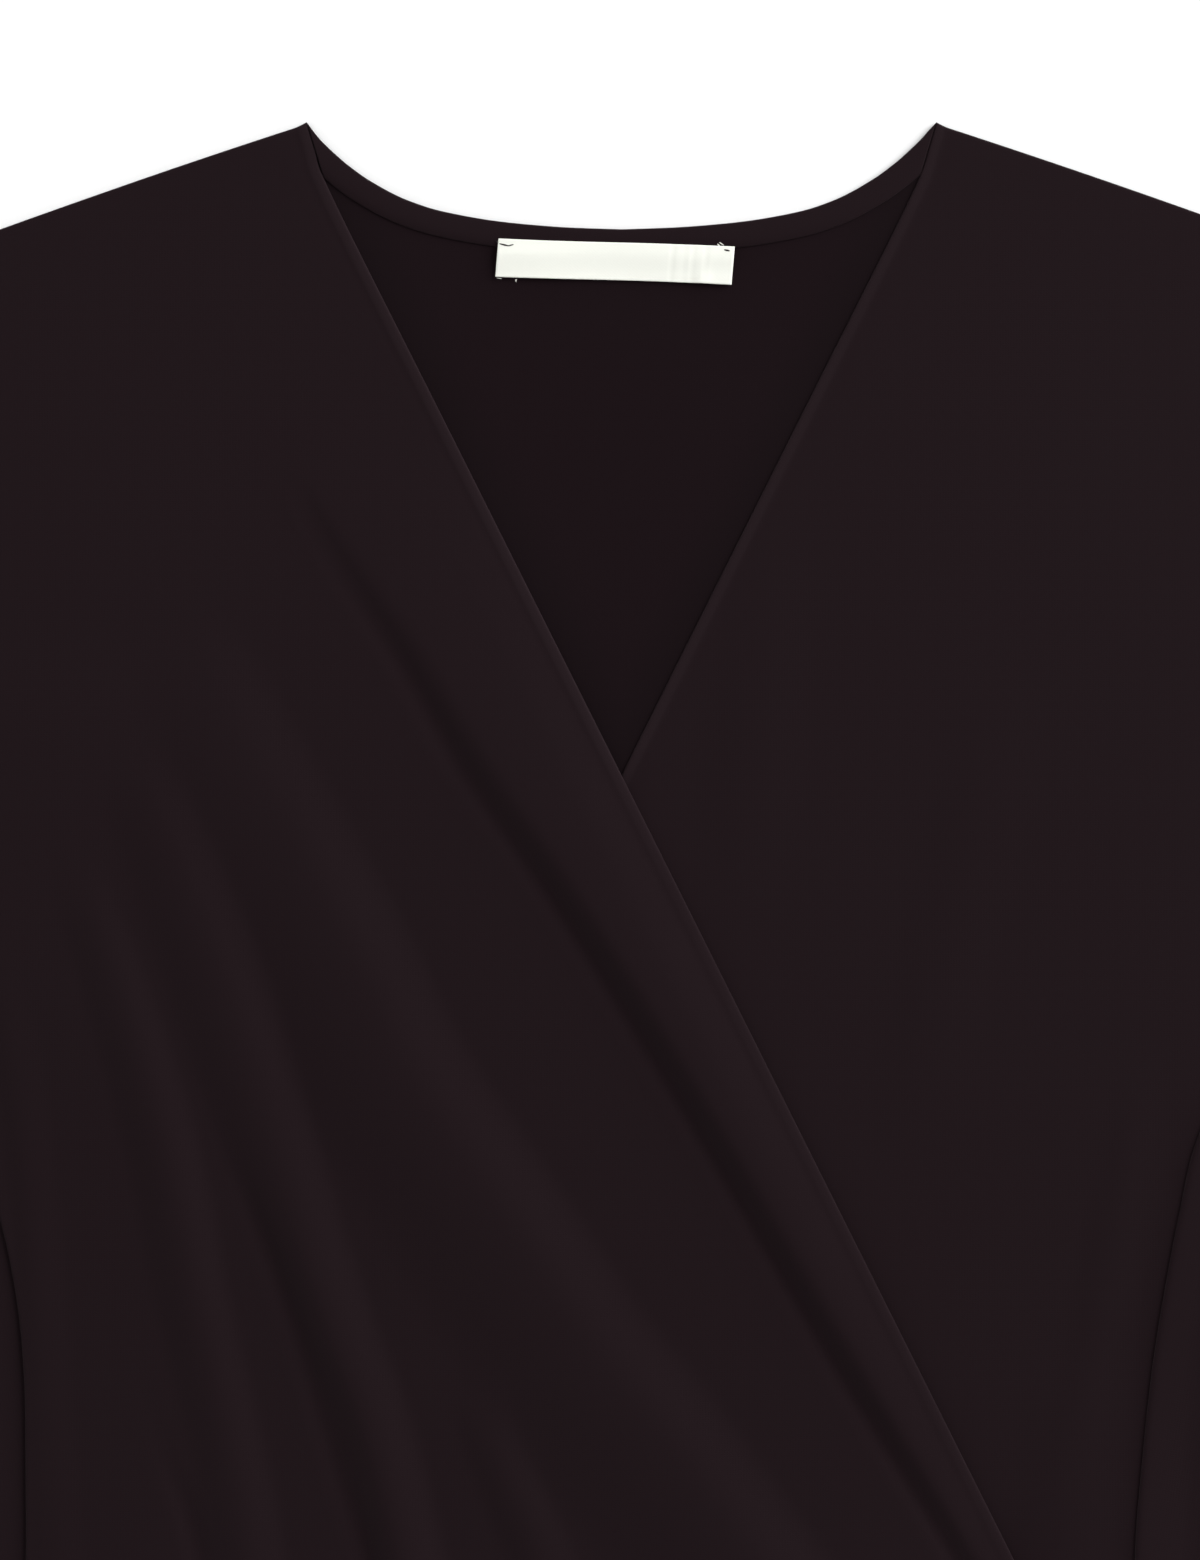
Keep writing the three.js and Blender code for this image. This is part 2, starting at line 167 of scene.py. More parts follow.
ARMHOLE = [
    Spot(SHOULDER_HALF, float(shoulder_y(SHOULDER_HALF))),
    Spot(203.5, -90),
    Spot(204.5, -145),
    Spot(209, -195),
    Spot(214.5, -225),
    Spot(220, UNDERARM_Y),
]

SIDE = [
    Spot(220, UNDERARM_Y),
    Spot(206.5, -275),
    Spot(195.5, -300),
    Spot(187.5, -325),
    Spot(182, -350),
    Spot(179.4, -375),
    Spot(178.9, -405),
    Spot(179, -440),
    Spot(181.5, -500),
    Spot(187.7, -570),
    Spot(195, -LENGTH + HEM_BOW),
]

SLEEVE_OUTER = [
    Spot(SHOULDER_HALF, float(shoulder_y(SHOULDER_HALF))),
    Spot(240, -53),
    Spot(272, -80),
    Spot(297, -122),
    Spot(312, -175),
    Spot(319, -235),
    Spot(317, -300),
    Spot(308, -370),
    Spot(296, -440),
    Spot(284, -510),
    Spot(273, -570),
    Spot(266, CUFF_Y + 2),
]

# The sleeves' inner folds start on the armhole: one goes over the body, the other under it
INNER_OVER = [
    Spot(205.8, -165),
    Spot(206.6, -188),
    Spot(205.4, -212),
    Spot(201, -237),
    Spot(193.5, -261),
    Spot(183.5, -283),
    Spot(172.6, -305),
    Spot(167.6, -326),
    Spot(163, -350),
    Spot(159.2, -374),
    Spot(156.2, -401),
    Spot(153.8, -431),
    Spot(153.5, -480),
    Spot(157, -530),
    Spot(164, -580),
    Spot(171, CUFF_Y),
]

INNER_UNDER = [
    Spot(209, -195),
    Spot(209, -215),
    Spot(205, -240),
    Spot(199, -268),
    Spot(190, -297),
    Spot(183, -319),
    Spot(176, -342),
    Spot(170, -370),
    Spot(166, -400),
    Spot(165, -431),
    Spot(166, -480),
    Spot(170, -530),
    Spot(174, -580),
    Spot(176, CUFF_Y),
]

# Folds of the over front: broad on the side that faces the neck, short or very long on the other
RIDGE_BY_EDGE = [
    Crest(-97, -92, 26, 26, 0.1),
    Crest(-81, -122, 15, 40, 0.9),
    Crest(-60, -155, 9.5, 38, 1.7),
    Crest(-38.5, -191, 9.5, 38, 2.3),
    Crest(-12, -230, 9, 34, 2.9),
    Crest(14.5, -272, 9, 32, 3.1),
    Crest(41, -317, 8.5, 30, 2.9),
    Crest(70.5, -368, 8, 26, 2.4),
    Crest(108.5, -431, 7.5, 18, 1.35),
    Crest(134, -484, 7.5, 15, 1.0),
    Crest(148, -515, 7.5, 14, 0.1),
]
RIDGE_MIDDLE = [
    Crest(-133, -150, 22, 14, 0.1),
    Crest(-121, -173, 26, 18, 1.3),
    Crest(-101, -212, 30, 20, 2.4),
    Crest(-81, -251, 32, 21, 3.1),
    Crest(-64, -287, 34, 22, 3.5),
    Crest(-34, -332, 36, 22, 3.5),
    Crest(-10, -368, 38, 22, 3.4),
    Crest(14, -398, 38, 22, 3.2),
    Crest(38, -431, 38, 22, 3.2),
    Crest(76, -485, 36, 24, 2.8),
    Crest(104, -530, 32, 24, 1.4),
    Crest(120, -560, 28, 22, 0.1),
]
RIDGE_SIDE = [
    Crest(-145, -190, 14, 10, 0.1),
    Crest(-137, -212, 16, 13, 1.3),
    Crest(-121, -254, 18, 15, 2.1),
    Crest(-106, -302, 16, 15, 2.5),
    Crest(-95, -338, 11, 15, 2.7),
    Crest(-86, -365, 9, 15, 2.8),
    Crest(-76, -392, 9, 15, 2.8),
    Crest(-66, -431, 9.5, 15, 2.8),
    Crest(-52, -490, 14, 18, 2.5),
    Crest(-38, -550, 16, 20, 1.7),
    Crest(-30, -600, 16, 20, 0.1),
]
RIDGE_OUTER = [
    Crest(-163, -222, 10, 8, 0.1),
    Crest(-157, -242, 11, 10, 1),
    Crest(-149, -266, 12, 11, 1.5),
    Crest(-137, -308, 13, 12, 2),
    Crest(-128, -353, 13, 12, 2.1),
    Crest(-119, -392, 13, 12, 2),
    Crest(-113, -425, 13, 13, 2),
    Crest(-103, -500, 14, 15, 1.7),
    Crest(-96, -570, 14, 15, 0.1),
]
RIDGE_BY_SIDE = [
    Crest(-188, -254, 7, 9, 0.1),
    Crest(-181, -290, 7, 10, 0.7),
    Crest(-176, -340, 7, 10, 0.8),
    Crest(-172, -400, 8, 10, 0.6),
    Crest(-166, -470, 9, 11, 0.6),
    Crest(-160, -520, 9, 11, 0.1),
]
RIDGE_SMALL = [
    Crest(-44, -380, 9, 10, 0.1),
    Crest(-38, -398, 10, 10, 1),
    Crest(-25, -428, 11, 11, 1.4),
    Crest(-12, -466, 11, 12, 1.1),
    Crest(-2, -500, 10, 12, 0.1),
]
OVER_RIDGES = [RIDGE_BY_EDGE, RIDGE_MIDDLE, RIDGE_SIDE, RIDGE_OUTER, RIDGE_BY_SIDE, RIDGE_SMALL]

# Creases of the over front, cut into its slack
OVER_CREASES = [
    [
        Crest(-97, -110, 5, 4, 0.1),
        Crest(-90, -123, 6, 4, 0.4),
        Crest(-69.5, -155, 6, 4, 0.5),
        Crest(-48.5, -191, 6, 4, 0.7),
        Crest(-21.5, -230, 6, 4, 0.9),
        Crest(5.6, -272, 6, 4, 0.9),
        Crest(32.6, -317, 5.5, 4, 0.9),
        Crest(62.6, -368, 5.5, 3.5, 0.9),
        Crest(101.6, -431, 5, 3.5, 0.9),
        Crest(130, -484, 5, 4, 0.6),
        Crest(146, -515, 5, 4, 0.1),
    ],
    [
        Crest(-113, -318, 5, 4, 0.1),
        Crest(-107, -335, 5, 4, 0.5),
        Crest(-96.5, -365, 5, 4, 0.8),
        Crest(-84.5, -404, 5, 4, 0.9),
        Crest(-75.5, -431, 6, 4, 0.9),
        Crest(-64, -480, 7, 5, 0.8),
        Crest(-56, -530, 7, 5, 0.1),
    ],
    [
        Crest(-143, -380, 4, 5, 0.1),
        Crest(-137, -400, 4, 5, 0.3),
        Crest(-130.4, -417, 4, 5, 0.8),
        Crest(-124, -446, 4, 5, 0.5),
        Crest(-120, -474, 4, 5, 0.1),
    ],
]

# Threads at the label
LABEL_TACKS = [
    Tack(-0.012, 0.06, 0.012, 0.15, 0.55),
    Tack(0.004, 0.14, 0.05, 0.2, 0.5),
    Tack(0.04, 0.2, 0.068, 0.15, 0.4),
    Tack(0.945, -0.02, 0.962, 0.12, 0.5),
    Tack(0.955, 0.1, 0.982, 0.13, 0.55),
    Tack(0.976, 0.12, 1.004, 0.0, 0.4),
]
LABEL_FRAY = [
    Tack(0.925, -0.06, 0.94, 0.03, 0.35),
    Tack(0.932, -0.1, 0.955, -0.02, 0.3),
    Tack(0.94, 0.0, 0.968, 0.06, 0.35),
    Tack(0.085, 1.03, 0.09, 1.12, 0.25),
    Tack(0.092, 1.02, 0.088, 1.1, 0.2),
    Tack(0.004, 1.02, 0.03, 1.04, 0.25),
]

# Folds of the under front and of the sleeves
UNDER_RIDGES = [
    [
        Crest(156, -286, 8, 8, 0.1),
        Crest(153, -306, 9, 9, 0.4),
        Crest(146, -345, 10, 10, 0.6),
        Crest(139, -383, 10, 10, 0.5),
        Crest(135, -402, 10, 10, 0.1),
    ],
    [
        Crest(130, -372, 12, 40, 0.1),
        Crest(136, -400, 20, 50, 0.9),
        Crest(140, -431, 28, 60, 2.1),
        Crest(142, -462, 28, 60, 1.9),
        Crest(148, -510, 20, 50, 0.1),
    ],
    [
        Crest(179, -291, 8, 24, 0.1),
        Crest(173.6, -305, 6, 25, 0.5),
        Crest(164, -350, 5.5, 26, 0.65),
        Crest(157.2, -401, 5.5, 26, 0.65),
        Crest(154.8, -431, 5.5, 26, 0.65),
        Crest(154.5, -480, 6, 26, 0.5),
        Crest(158, -530, 8, 24, 0.1),
    ],
    [
        Crest(46, -130, 14, 16, 0.1),
        Crest(41, -168, 16, 18, 0.6),
        Crest(38, -205, 16, 18, 0.55),
        Crest(36, -240, 14, 16, 0.1),
    ],
    [
        Crest(113, -176, 14, 16, 0.1),
        Crest(107, -208, 16, 18, 0.45),
        Crest(95, -260, 16, 18, 0.55),
        Crest(88, -298, 14, 16, 0.1),
    ],
]

LEFT_SLEEVE_RIDGES = [
    [
        Crest(226, -86, 10, 12, 0.1),
        Crest(233, -120, 12, 14, 1.6),
        Crest(243, -185, 13, 17, 2.8),
        Crest(253, -260, 15, 18, 3.0),
        Crest(256, -330, 15, 17, 2.4),
        Crest(252, -400, 14, 16, 1.4),
        Crest(249, -440, 13, 14, 0.1),
    ],
    [
        Crest(279, -132, 10, 9, 0.1),
        Crest(288, -190, 12, 11, 1.2),
        Crest(289, -270, 13, 12, 2.0),
        Crest(280, -350, 14, 13, 2.3),
        Crest(264, -430, 15, 14, 2.1),
        Crest(246, -500, 14, 14, 1.4),
        Crest(232, -566, 12, 12, 0.1),
    ],
    [
        Crest(212, -290, 8, 10, 0.1),
        Crest(203, -345, 10, 12, 1.4),
        Crest(199, -420, 11, 13, 2.0),
        Crest(200, -490, 12, 13, 1.5),
        Crest(204, -560, 11, 12, 0.1),
    ],
    [
        Crest(183, -330, 6, 8, 0.1),
        Crest(178, -372, 7, 9, 0.9),
        Crest(177, -430, 7, 9, 1.1),
        Crest(180, -500, 7, 9, 0.1),
    ],
]

RIGHT_SLEEVE_RIDGES = [
    [
        Crest(-229, -94, 12, 10, 0.1),
        Crest(-238, -140, 15, 12, 1.8),
        Crest(-250, -210, 17, 14, 3.0),
        Crest(-259, -290, 18, 14, 3.2),
        Crest(-260, -360, 17, 14, 2.6),
        Crest(-256, -425, 15, 13, 1.4),
        Crest(-253, -466, 13, 12, 0.1),
    ],
    [
        Crest(-276, -140, 9, 11, 0.1),
        Crest(-287, -205, 11, 12, 1.3),
        Crest(-287, -280, 12, 13, 1.9),
        Crest(-279, -360, 13, 14, 2.1),
        Crest(-264, -440, 14, 14, 1.9),
        Crest(-247, -510, 13, 13, 1.1),
        Crest(-236, -560, 12, 12, 0.1),
    ],
    [
        Crest(-215, -312, 9, 8, 0.1),
        Crest(-209, -370, 11, 10, 1.2),
        Crest(-207, -440, 12, 11, 1.7),
        Crest(-210, -520, 12, 11, 1.0),
        Crest(-213, -566, 11, 10, 0.1),
    ],
]


# The stage, in metres, and the camera's lens and half its sensor's height, in its millimetres
FLOOR_REACH = 10.0
FLOOR_DROP = 0.0003
FRAME_MIDDLE = (-0.00645, 0.1232)  # the place on the cloth under the picture's middle
FRAME_HEIGHT = 0.468
CLOTH_TOP = 0.003
LENS = 100.0
HALF_SENSOR = 18.0


# Sizes and colours that a user may change


class ClothSizes(bpy.types.PropertyGroup):
    """Sizes of the cloth and of its edges."""

    wall: bpy.props.FloatProperty(
        name="Cloth", description="Thickness of one layer", default=0.00055, min=0.0004, unit="LENGTH"
    )
    rim_width: bpy.props.FloatProperty(
        name="Wrap rim", description="Width of the turned wrap edge", default=0.003, unit="LENGTH"
    )
    rim_height: bpy.props.FloatProperty(
        name="Wrap rim height", description="Height of the turned wrap edge", default=0.00022, unit="LENGTH"
    )
    hem_depth: bpy.props.FloatProperty(
        name="Hem", description="Depth of the turned hem and cuffs", default=0.02, unit="LENGTH"
    )
    hem_step: bpy.props.FloatProperty(
        name="Hem step", description="How much thicker a hem is", default=0.00025, unit="LENGTH"
    )
    stitch_length: bpy.props.FloatProperty(
        name="Stitch", description="Length of one hem stitch", default=0.0026, unit="LENGTH"
    )
    needle_gap: bpy.props.FloatProperty(
        name="Needle gap", description="Between the two rows of hem stitches", default=0.0055, unit="LENGTH"
    )


class LabelSizes(bpy.types.PropertyGroup):
    """Sizes of the neck label."""

    width: bpy.props.FloatProperty(
        name="Width", description="Width of the label", default=0.071, unit="LENGTH"
    )
    height: bpy.props.FloatProperty(
        name="Height", description="Height of the label", default=0.0115, unit="LENGTH"
    )
    wall: bpy.props.FloatProperty(
        name="Ribbon", description="Thickness of the label", default=0.0005, unit="LENGTH"
    )
    turn: bpy.props.FloatProperty(
        name="Turn", description="Tilt of the label", default=-0.034, unit="ROTATION"
    )


class Colours(bpy.types.PropertyGroup):
    """Colours of the cloth, the label and the floor."""

    jersey: bpy.props.FloatVectorProperty(
        name="Jersey", description="Face of the cloth", default=(0.0086, 0.0037, 0.0052), subtype="COLOR"
    )
    inside: bpy.props.FloatVectorProperty(
        name="Inside", description="Inside of the back", default=(0.0058, 0.0018, 0.0031), subtype="COLOR"
    )
    thread: bpy.props.FloatVectorProperty(
        name="Thread", description="Sewing thread", default=(0.0105, 0.0062, 0.0074), subtype="COLOR"
    )
    label: bpy.props.FloatVectorProperty(
        name="Label", description="Satin label", default=(0.80, 0.81, 0.745), subtype="COLOR"
    )
    floor: bpy.props.FloatVectorProperty(
        name="Floor", description="Floor under the top", default=(0.9, 0.9, 0.9), subtype="COLOR"
    )


# Shader maths


class Value:
    """A shader socket that Python's operators work on."""

    def __init__(self, shader, socket):
        self.shader = shader
        self.socket = socket

    def math(self, operation, *values):
        found = self.shader.node("ShaderNodeMath", {"operation": operation}, dict(enumerate(values)))
        return Value(self.shader, found.outputs[0])

    def __add__(self, other):
        return self.math("ADD", self, other)

    def __radd__(self, other):
        return self.math("ADD", other, self)

    def __sub__(self, other):
        return self.math("SUBTRACT", self, other)

    def __rsub__(self, other):
        return self.math("SUBTRACT", other, self)

    def __mul__(self, other):
        return self.math("MULTIPLY", self, other)

    def __rmul__(self, other):
        return self.math("MULTIPLY", other, self)

    def __abs__(self):
        return self.math("ABSOLUTE", self)

    def fraction(self):
        return self.math("FRACT", self)

    def cosine(self):
        return self.math("COSINE", self)


class Shader:
    """A material's nodes, ending in one Principled shader."""

    def __init__(self, name):
        self.material = bpy.data.materials.new(name)
        self.material.use_nodes = True
        self.nodes = self.material.node_tree.nodes
        self.links = self.material.node_tree.links
        self.surface = self.nodes["Principled BSDF"]

    def node(self, kind, settings, inputs):
        made = self.nodes.new(kind)
        for key, value in settings.items():
            setattr(made, key, value)
        for key, value in inputs.items():
            self.put(made.inputs[key], value)
        return made

    def put(self, socket, value):
        if isinstance(value, Value):
            self.links.new(value.socket, socket)
        elif isinstance(value, bpy.types.NodeSocket):
            self.links.new(value, socket)
        else:
            socket.default_value = value

    def finish(self, values):
        for key, value in values.items():
            self.put(self.surface.inputs[key], value)
        return self.material

    def object_point(self):
        return self.node("ShaderNodeTexCoord", {}, {}).outputs["Object"]

    def grain(self):
        """The piece's own UV map, in metres across and along the knit, as two values."""
        mapped = self.node("ShaderNodeUVMap", {"uv_map": "grain"}, {})
        parts = self.node("ShaderNodeSeparateXYZ", {}, {0: mapped.outputs[0]})
        return Value(self, parts.outputs[0]), Value(self, parts.outputs[1])

    def noise(self, scale, detail):
        inputs = {"Vector": self.object_point(), "Scale": scale, "Detail": detail}
        return Value(self, self.node("ShaderNodeTexNoise", {}, inputs).outputs[0])

    def blend(self, factor, first, second):
        inputs = {0: factor, 6: colour4(first), 7: colour4(second)}
        return self.node("ShaderNodeMix", {"data_type": "RGBA"}, inputs).outputs[2]

    def bump(self, height, distance, strength):
        inputs = {"Height": height, "Distance": distance, "Strength": strength}
        return self.node("ShaderNodeBump", {}, inputs).outputs[0]


def colour4(colour):
    """A colour with its alpha, or the socket that it already is."""
    if isinstance(colour, bpy.types.NodeSocket):
        return colour
    return (*colour[:3], 1.0)


def scaled(colour, by):
    """A colour that is brighter or darker by a factor."""
    return tuple(channel * by for channel in colour)


def jersey_material(name, colour, painted_colour):
    """Smooth knit jersey: fine wales and courses, a little uneven in tone, with a soft nap. The second
    colour is painted light or shade, a painted sheen or a painted shadow, laid on where the cloth's
    attribute says so."""
    shader = Shader(name)
    across, along = shader.grain()
    wale = abs((across * (1 / 0.00082)).fraction() - 0.5) * 2
    course = (along * (1 / 0.00066) + wale * 0.5).fraction()
    loops = (course * (2 * math.pi)).cosine() * 0.5 + wale * 0.9
    fuzz = shader.noise(2600, 2)
    cloudy = shader.noise(16, 3)
    plain = shader.blend(cloudy * 0.7 + fuzz * 0.3, scaled(colour, 0.95), scaled(colour, 1.05))
    # the attribute places painted light or shade: painted sheen on the fronts' turned edges, painted shadow
    # on the back beside them
    painted_light = shader.node("ShaderNodeAttribute", {"attribute_name": "painted_light"}, {})
    tone = shader.blend(Value(shader, painted_light.outputs["Fac"]) * 0.9, plain, painted_colour)
    height = loops * 0.6 + fuzz * 0.8
    return shader.finish(
        {
            "Base Color": tone,
            "Roughness": 0.82 + cloudy * 0.08,
            "Normal": shader.bump(height, 0.00006, 0.22),
            "Specular IOR Level": 0.09,
            "Sheen Weight": 0.03,
            "Sheen Roughness": 0.45,
            "Sheen Tint": (1.0, 0.86, 0.9, 1.0),
        }
    )


def thread_material(colour):
    """Matt sewing thread with its twist."""
    shader = Shader("thread")
    twist = shader.noise(5200, 2)
    return shader.finish(
        {
            "Base Color": shader.blend(twist, scaled(colour, 0.8), scaled(colour, 1.3)),
            "Roughness": 0.6 + twist * 0.15,
            "Specular IOR Level": 0.3,
        }
    )


def satin_material(colour):
    """Woven satin ribbon: long floats along its width, fine ends across."""
    shader = Shader("satin")
    across, along = shader.grain()
    floats = ((along * (1 / 0.00028)).fraction() - 0.5) * 2
    ends = ((across * (1 / 0.0011) + along * (1 / 0.0009)).fraction() - 0.5) * 2
    weave = abs(floats) * 0.7 + abs(ends) * 0.3
    fuzz = shader.noise(1800, 2)
    tone = shader.blend(weave * 0.5 + fuzz * 0.5, scaled(colour, 0.95), scaled(colour, 1.03))
    return shader.finish(
        {
            "Base Color": tone,
            "Roughness": 0.5 + fuzz * 0.1,
            "Normal": shader.bump(weave, 0.00003, 0.3),
            "Specular IOR Level": 0.3,
        }
    )


# Curves and plans


def smooth(value):
    """A soft step from 0 to 1."""
    held = np.clip(value, 0.0, 1.0)
    return held * held * (3 - 2 * held)


def along(line, shares):
    """The points at shares of a line's length."""
    steps = np.hypot(*np.diff(line, axis=0).T)
    run = np.concatenate([[0.0], np.cumsum(steps)])
    return np.column_stack([np.interp(shares * run[-1], run, column) for column in line.T])


def even(line, count, grading=1.0):
    """count points along a line, evenly spaced unless graded, which crowds them at its start."""
    return along(line, np.linspace(0, 1, count) ** grading)


def smooth_line(rows, pieces=16):
    """Points along a smooth curve through a table's rows, every column of them."""
    spots = np.array(rows, float)
    held = np.vstack([spots[:1], spots, spots[-1:]])
    t = np.linspace(0, 1, pieces, endpoint=False)[:, None]
    parts = []
    for a, b, c, d in zip(held, held[1:], held[2:], held[3:]):
        first = (c - a) / 2
        last = (d - b) / 2
        cubic = (2 * b - 2 * c + first + last) * t**3
        square = (3 * c - 3 * b - 2 * first - last) * t**2
        parts.append(cubic + square + first * t + b)
    return np.vstack([*parts, spots[-1:]])


def curve(rows, count, grading=1.0):
    """count points along the smooth curve through a table's rows."""
    return even(smooth_line(rows), count, grading)


def mirrored(line):
    """The same line on the body's other side."""
    return line * np.array([-1.0, 1.0])


def join_lines(first, second):
    """Two lines as one, where the second starts at the first's end."""
    return np.vstack([first, second[1:]])


def straight(start, end, count):
    """count points evenly spaced from start to end."""
    share = np.linspace(0, 1, count)[:, None]
    return np.array(start) * (1 - share) + np.array(end) * share


def x_on(rows, y):
    """The x at which a table's outline has the height y."""
    falling = np.array(rows, float)[::-1]
    return np.interp(y, falling[:, 1], falling[:, 0])


def body_half(y):
    """Half the body's width at the height y."""
    return np.where(y > UNDERARM_Y, x_on(ARMHOLE, y), x_on(SIDE, y))


def wrap_x(y):
    """The over front's wrap edge at the height y."""
    return -WRAP_START - WRAP_SLOPE * y


def inside_wrap(x, y):
    """The distance inside the over front's wrap edge. With -x it is the under front's."""
    return (wrap_x(y) - x) / WRAP_RUN


class Plan:
    """The area between four lines: left and right run down, top and bottom run to +X."""

    def __init__(self, left, right, top, bottom):
        self.lines = {"left": left, "right": right, "top": top, "bottom": bottom}

    def on(self, side, share):
        line = self.lines[side]
        index = np.linspace(0, 1, len(line))
        return np.stack([np.interp(share, index, line[:, axis]) for axis in (0, 1)], axis=-1)

    def at(self, u, v):
        """The point at the share u across and v down."""
        wide = u[..., None]
        deep = v[..., None]
        sides = self.on("left", v) * (1 - wide) + self.on("right", v) * wide
        ends = self.on("top", u) * (1 - deep) + self.on("bottom", u) * deep
        top_left, top_right = self.lines["top"][0], self.lines["top"][-1]
        low_left, low_right = self.lines["bottom"][0], self.lines["bottom"][-1]
        corners = (top_left * (1 - wide) + top_right * wide) * (1 - deep)
        corners = corners + (low_left * (1 - wide) + low_right * wide) * deep
        return sides + ends - corners


def graded(length, cells, near):
    """Shares of a length, cells of them, crowded near both ends as the near table says."""
    near = np.array(near)
    inner = cells - 2 * (len(near) - 1)
    middle = np.linspace(near[-1], length - near[-1], inner + 1)
    return np.concatenate([near[:-1], middle, length - near[:-1][::-1]]) / length


def edge_gaps(spots):
    """Each point's distance, in millimetres, from the four edges of its grid of rows and columns."""
    across = np.hypot(*np.moveaxis(np.diff(spots, axis=1), -1, 0))
    down = np.hypot(*np.moveaxis(np.diff(spots, axis=0), -1, 0))
    zero_column = np.zeros((spots.shape[0], 1))
    zero_row = np.zeros((1, spots.shape[1]))
    from_left = np.hstack([zero_column, np.cumsum(across, axis=1)])
    from_top = np.vstack([zero_row, np.cumsum(down, axis=0)])
    return {
        "left": from_left * skew(spots[:, :2], 0)[:, None],
        "right": (from_left[:, -1:] - from_left) * skew(spots[:, -2:], -1)[:, None],
        "top": from_top * skew(spots[:2].swapaxes(0, 1), 0)[None, :],
        "bottom": (from_top[-1:] - from_top) * skew(spots[-2:].swapaxes(0, 1), -1)[None, :],
    }


def skew(pairs, edge):
    """How much shorter the straight way to an edge is than the way along a grid's line."""
    run = np.gradient(pairs[:, edge], axis=0)
    out = pairs[:, 1] - pairs[:, 0]
    cross = np.abs(run[:, 0] * out[:, 1] - run[:, 1] * out[:, 0])
    return np.clip(cross / (np.hypot(*run.T) * np.hypot(*out.T) + 1e-9), 0.2, 1.0)


# Heights, in millimetres


def fold_height(folds, x, y, power=2.0):
    """The height of soft folds at points."""
    height = np.zeros_like(x)
    for fold in folds:
        line = smooth_line(fold, 10)
        reach = line[:, 2:4].max() + 2
        near = np.ones_like(x, bool)
        for values, column in ((x, 0), (y, 1)):
            near &= values > line[:, column].min() - reach
            near &= values < line[:, column].max() + reach
        if not near.any():
            continue
        height[near] += one_fold(line, x[near], y[near], power)
    return height


def one_fold(line, x, y, power):
    """The height of one fold at points, from the nearest place on its line."""
    start, end = line[:-1], line[1:]
    run = end[:, :2] - start[:, :2]
    square = (run**2).sum(axis=1)
    away_x = x[:, None] - start[None, :, 0]
    away_y = y[:, None] - start[None, :, 1]
    share = np.clip((away_x * run[:, 0] + away_y * run[:, 1]) / square, 0, 1)
    gap_x = away_x - share * run[:, 0]
    gap_y = away_y - share * run[:, 1]
    gap = np.hypot(gap_x, gap_y)
    best = gap.argmin(axis=1)
    rows = np.arange(len(x))
    at = start[best] + (end[best] - start[best]) * share[rows, best][:, None]
    side = gap_x[rows, best] * -run[best, 1] + gap_y[rows, best] * run[best, 0]
    width = np.where(side > 0, at[:, 3], at[:, 2])
    return at[:, 4] * np.clip(1 - (gap[rows, best] / width) ** 2, 0, 1) ** power


def covered(inside):
    """How far cloth is up on a layer whose edge is this far away: 1 inside it, 0 well beyond."""
    return smooth((inside + TOUCH + SETTLE) / SETTLE)


def slack(stage):
    """The bow of cloth that is at this stage of coming down from an edge."""
    return SLACK * 4 * stage * (1 - stage)


def body_raised(x, y):
    """How far the body is up on the right sleeve's inner fold."""
    sideways = smooth((-x - BODY_UP_X + BODY_SETTLE) / BODY_SETTLE)
    return sideways * smooth((BODY_UP_Y - y) / SETTLE)


def ripple(x, y):
    """Faint, slow unevenness of laid cloth."""
    first = np.sin(x / 23 + 0.8 * np.sin(y / 61)) * np.sin(y / 47 + 0.6 * np.sin(x / 39) + 1.1)
    second = np.sin(x / 11.3 + y / 19 + 1.7) * np.sin(y / 71 - x / 53)
    return 0.16 + 0.1 * first + 0.05 * second


def calm(inside):
    """How much of the ripple is left at a distance inside a wrap edge."""
    return smooth(0.15 + inside / 10)


def sleeve_height(y):
    """How high the right sleeve lies: two layers, and more at its turned cuff."""
    turned = 1.1 * bpy.context.scene.cloth_sizes.hem_step / MM
    return 2 * LAYER + turned * smooth((CUFF_TURN_Y - y) / 5)


def above_hem(x, y):
    """The distance of points of the body from its hem."""
    return y - SIDE[-1].y + HEM_BOW * (1 - (x / SIDE[-1].x) ** 2)


def hem_rise(x, y, early):
    """How far a layer is up on the turned hem of the one below, from this much before it."""
    return hem_trim(above_hem(x, y) - early, bpy.context.scene.cloth_sizes)


def back_base(x, y):
    """The back lies on the floor and over the right sleeve's inner fold."""
    return sleeve_height(y) * body_raised(x, y)


def under_front_base(x, y):
    """The under front lies on the back."""
    raised = body_raised(x, y)
    faint = ripple(x, y) * calm(inside_wrap(-x, y)) + hem_rise(x, y, early=4)
    return sleeve_height(y) * raised + slack(raised) + LAYER + fold_height(UNDER_RIDGES, x, y) + faint


def over_front_base(x, y):
    """The over front lies on the back and, beyond the under front's wrap edge, on that."""
    raised = body_raised(x, y)
    over_under = covered(inside_wrap(-x, y))
    faint = ripple(x, y) * (over_under + calm(inside_wrap(x, y)) * (1 - over_under))
    faint = faint + hem_rise(x, y, early=8) * (1 + over_under)
    body = sleeve_height(y) * raised + 2 * slack(raised) + LAYER + faint
    lap = LAYER * over_under + slack(over_under) + fold_height(UNDER_RIDGES, x, y) * over_under
    return body + lap + over_folds(x, y)


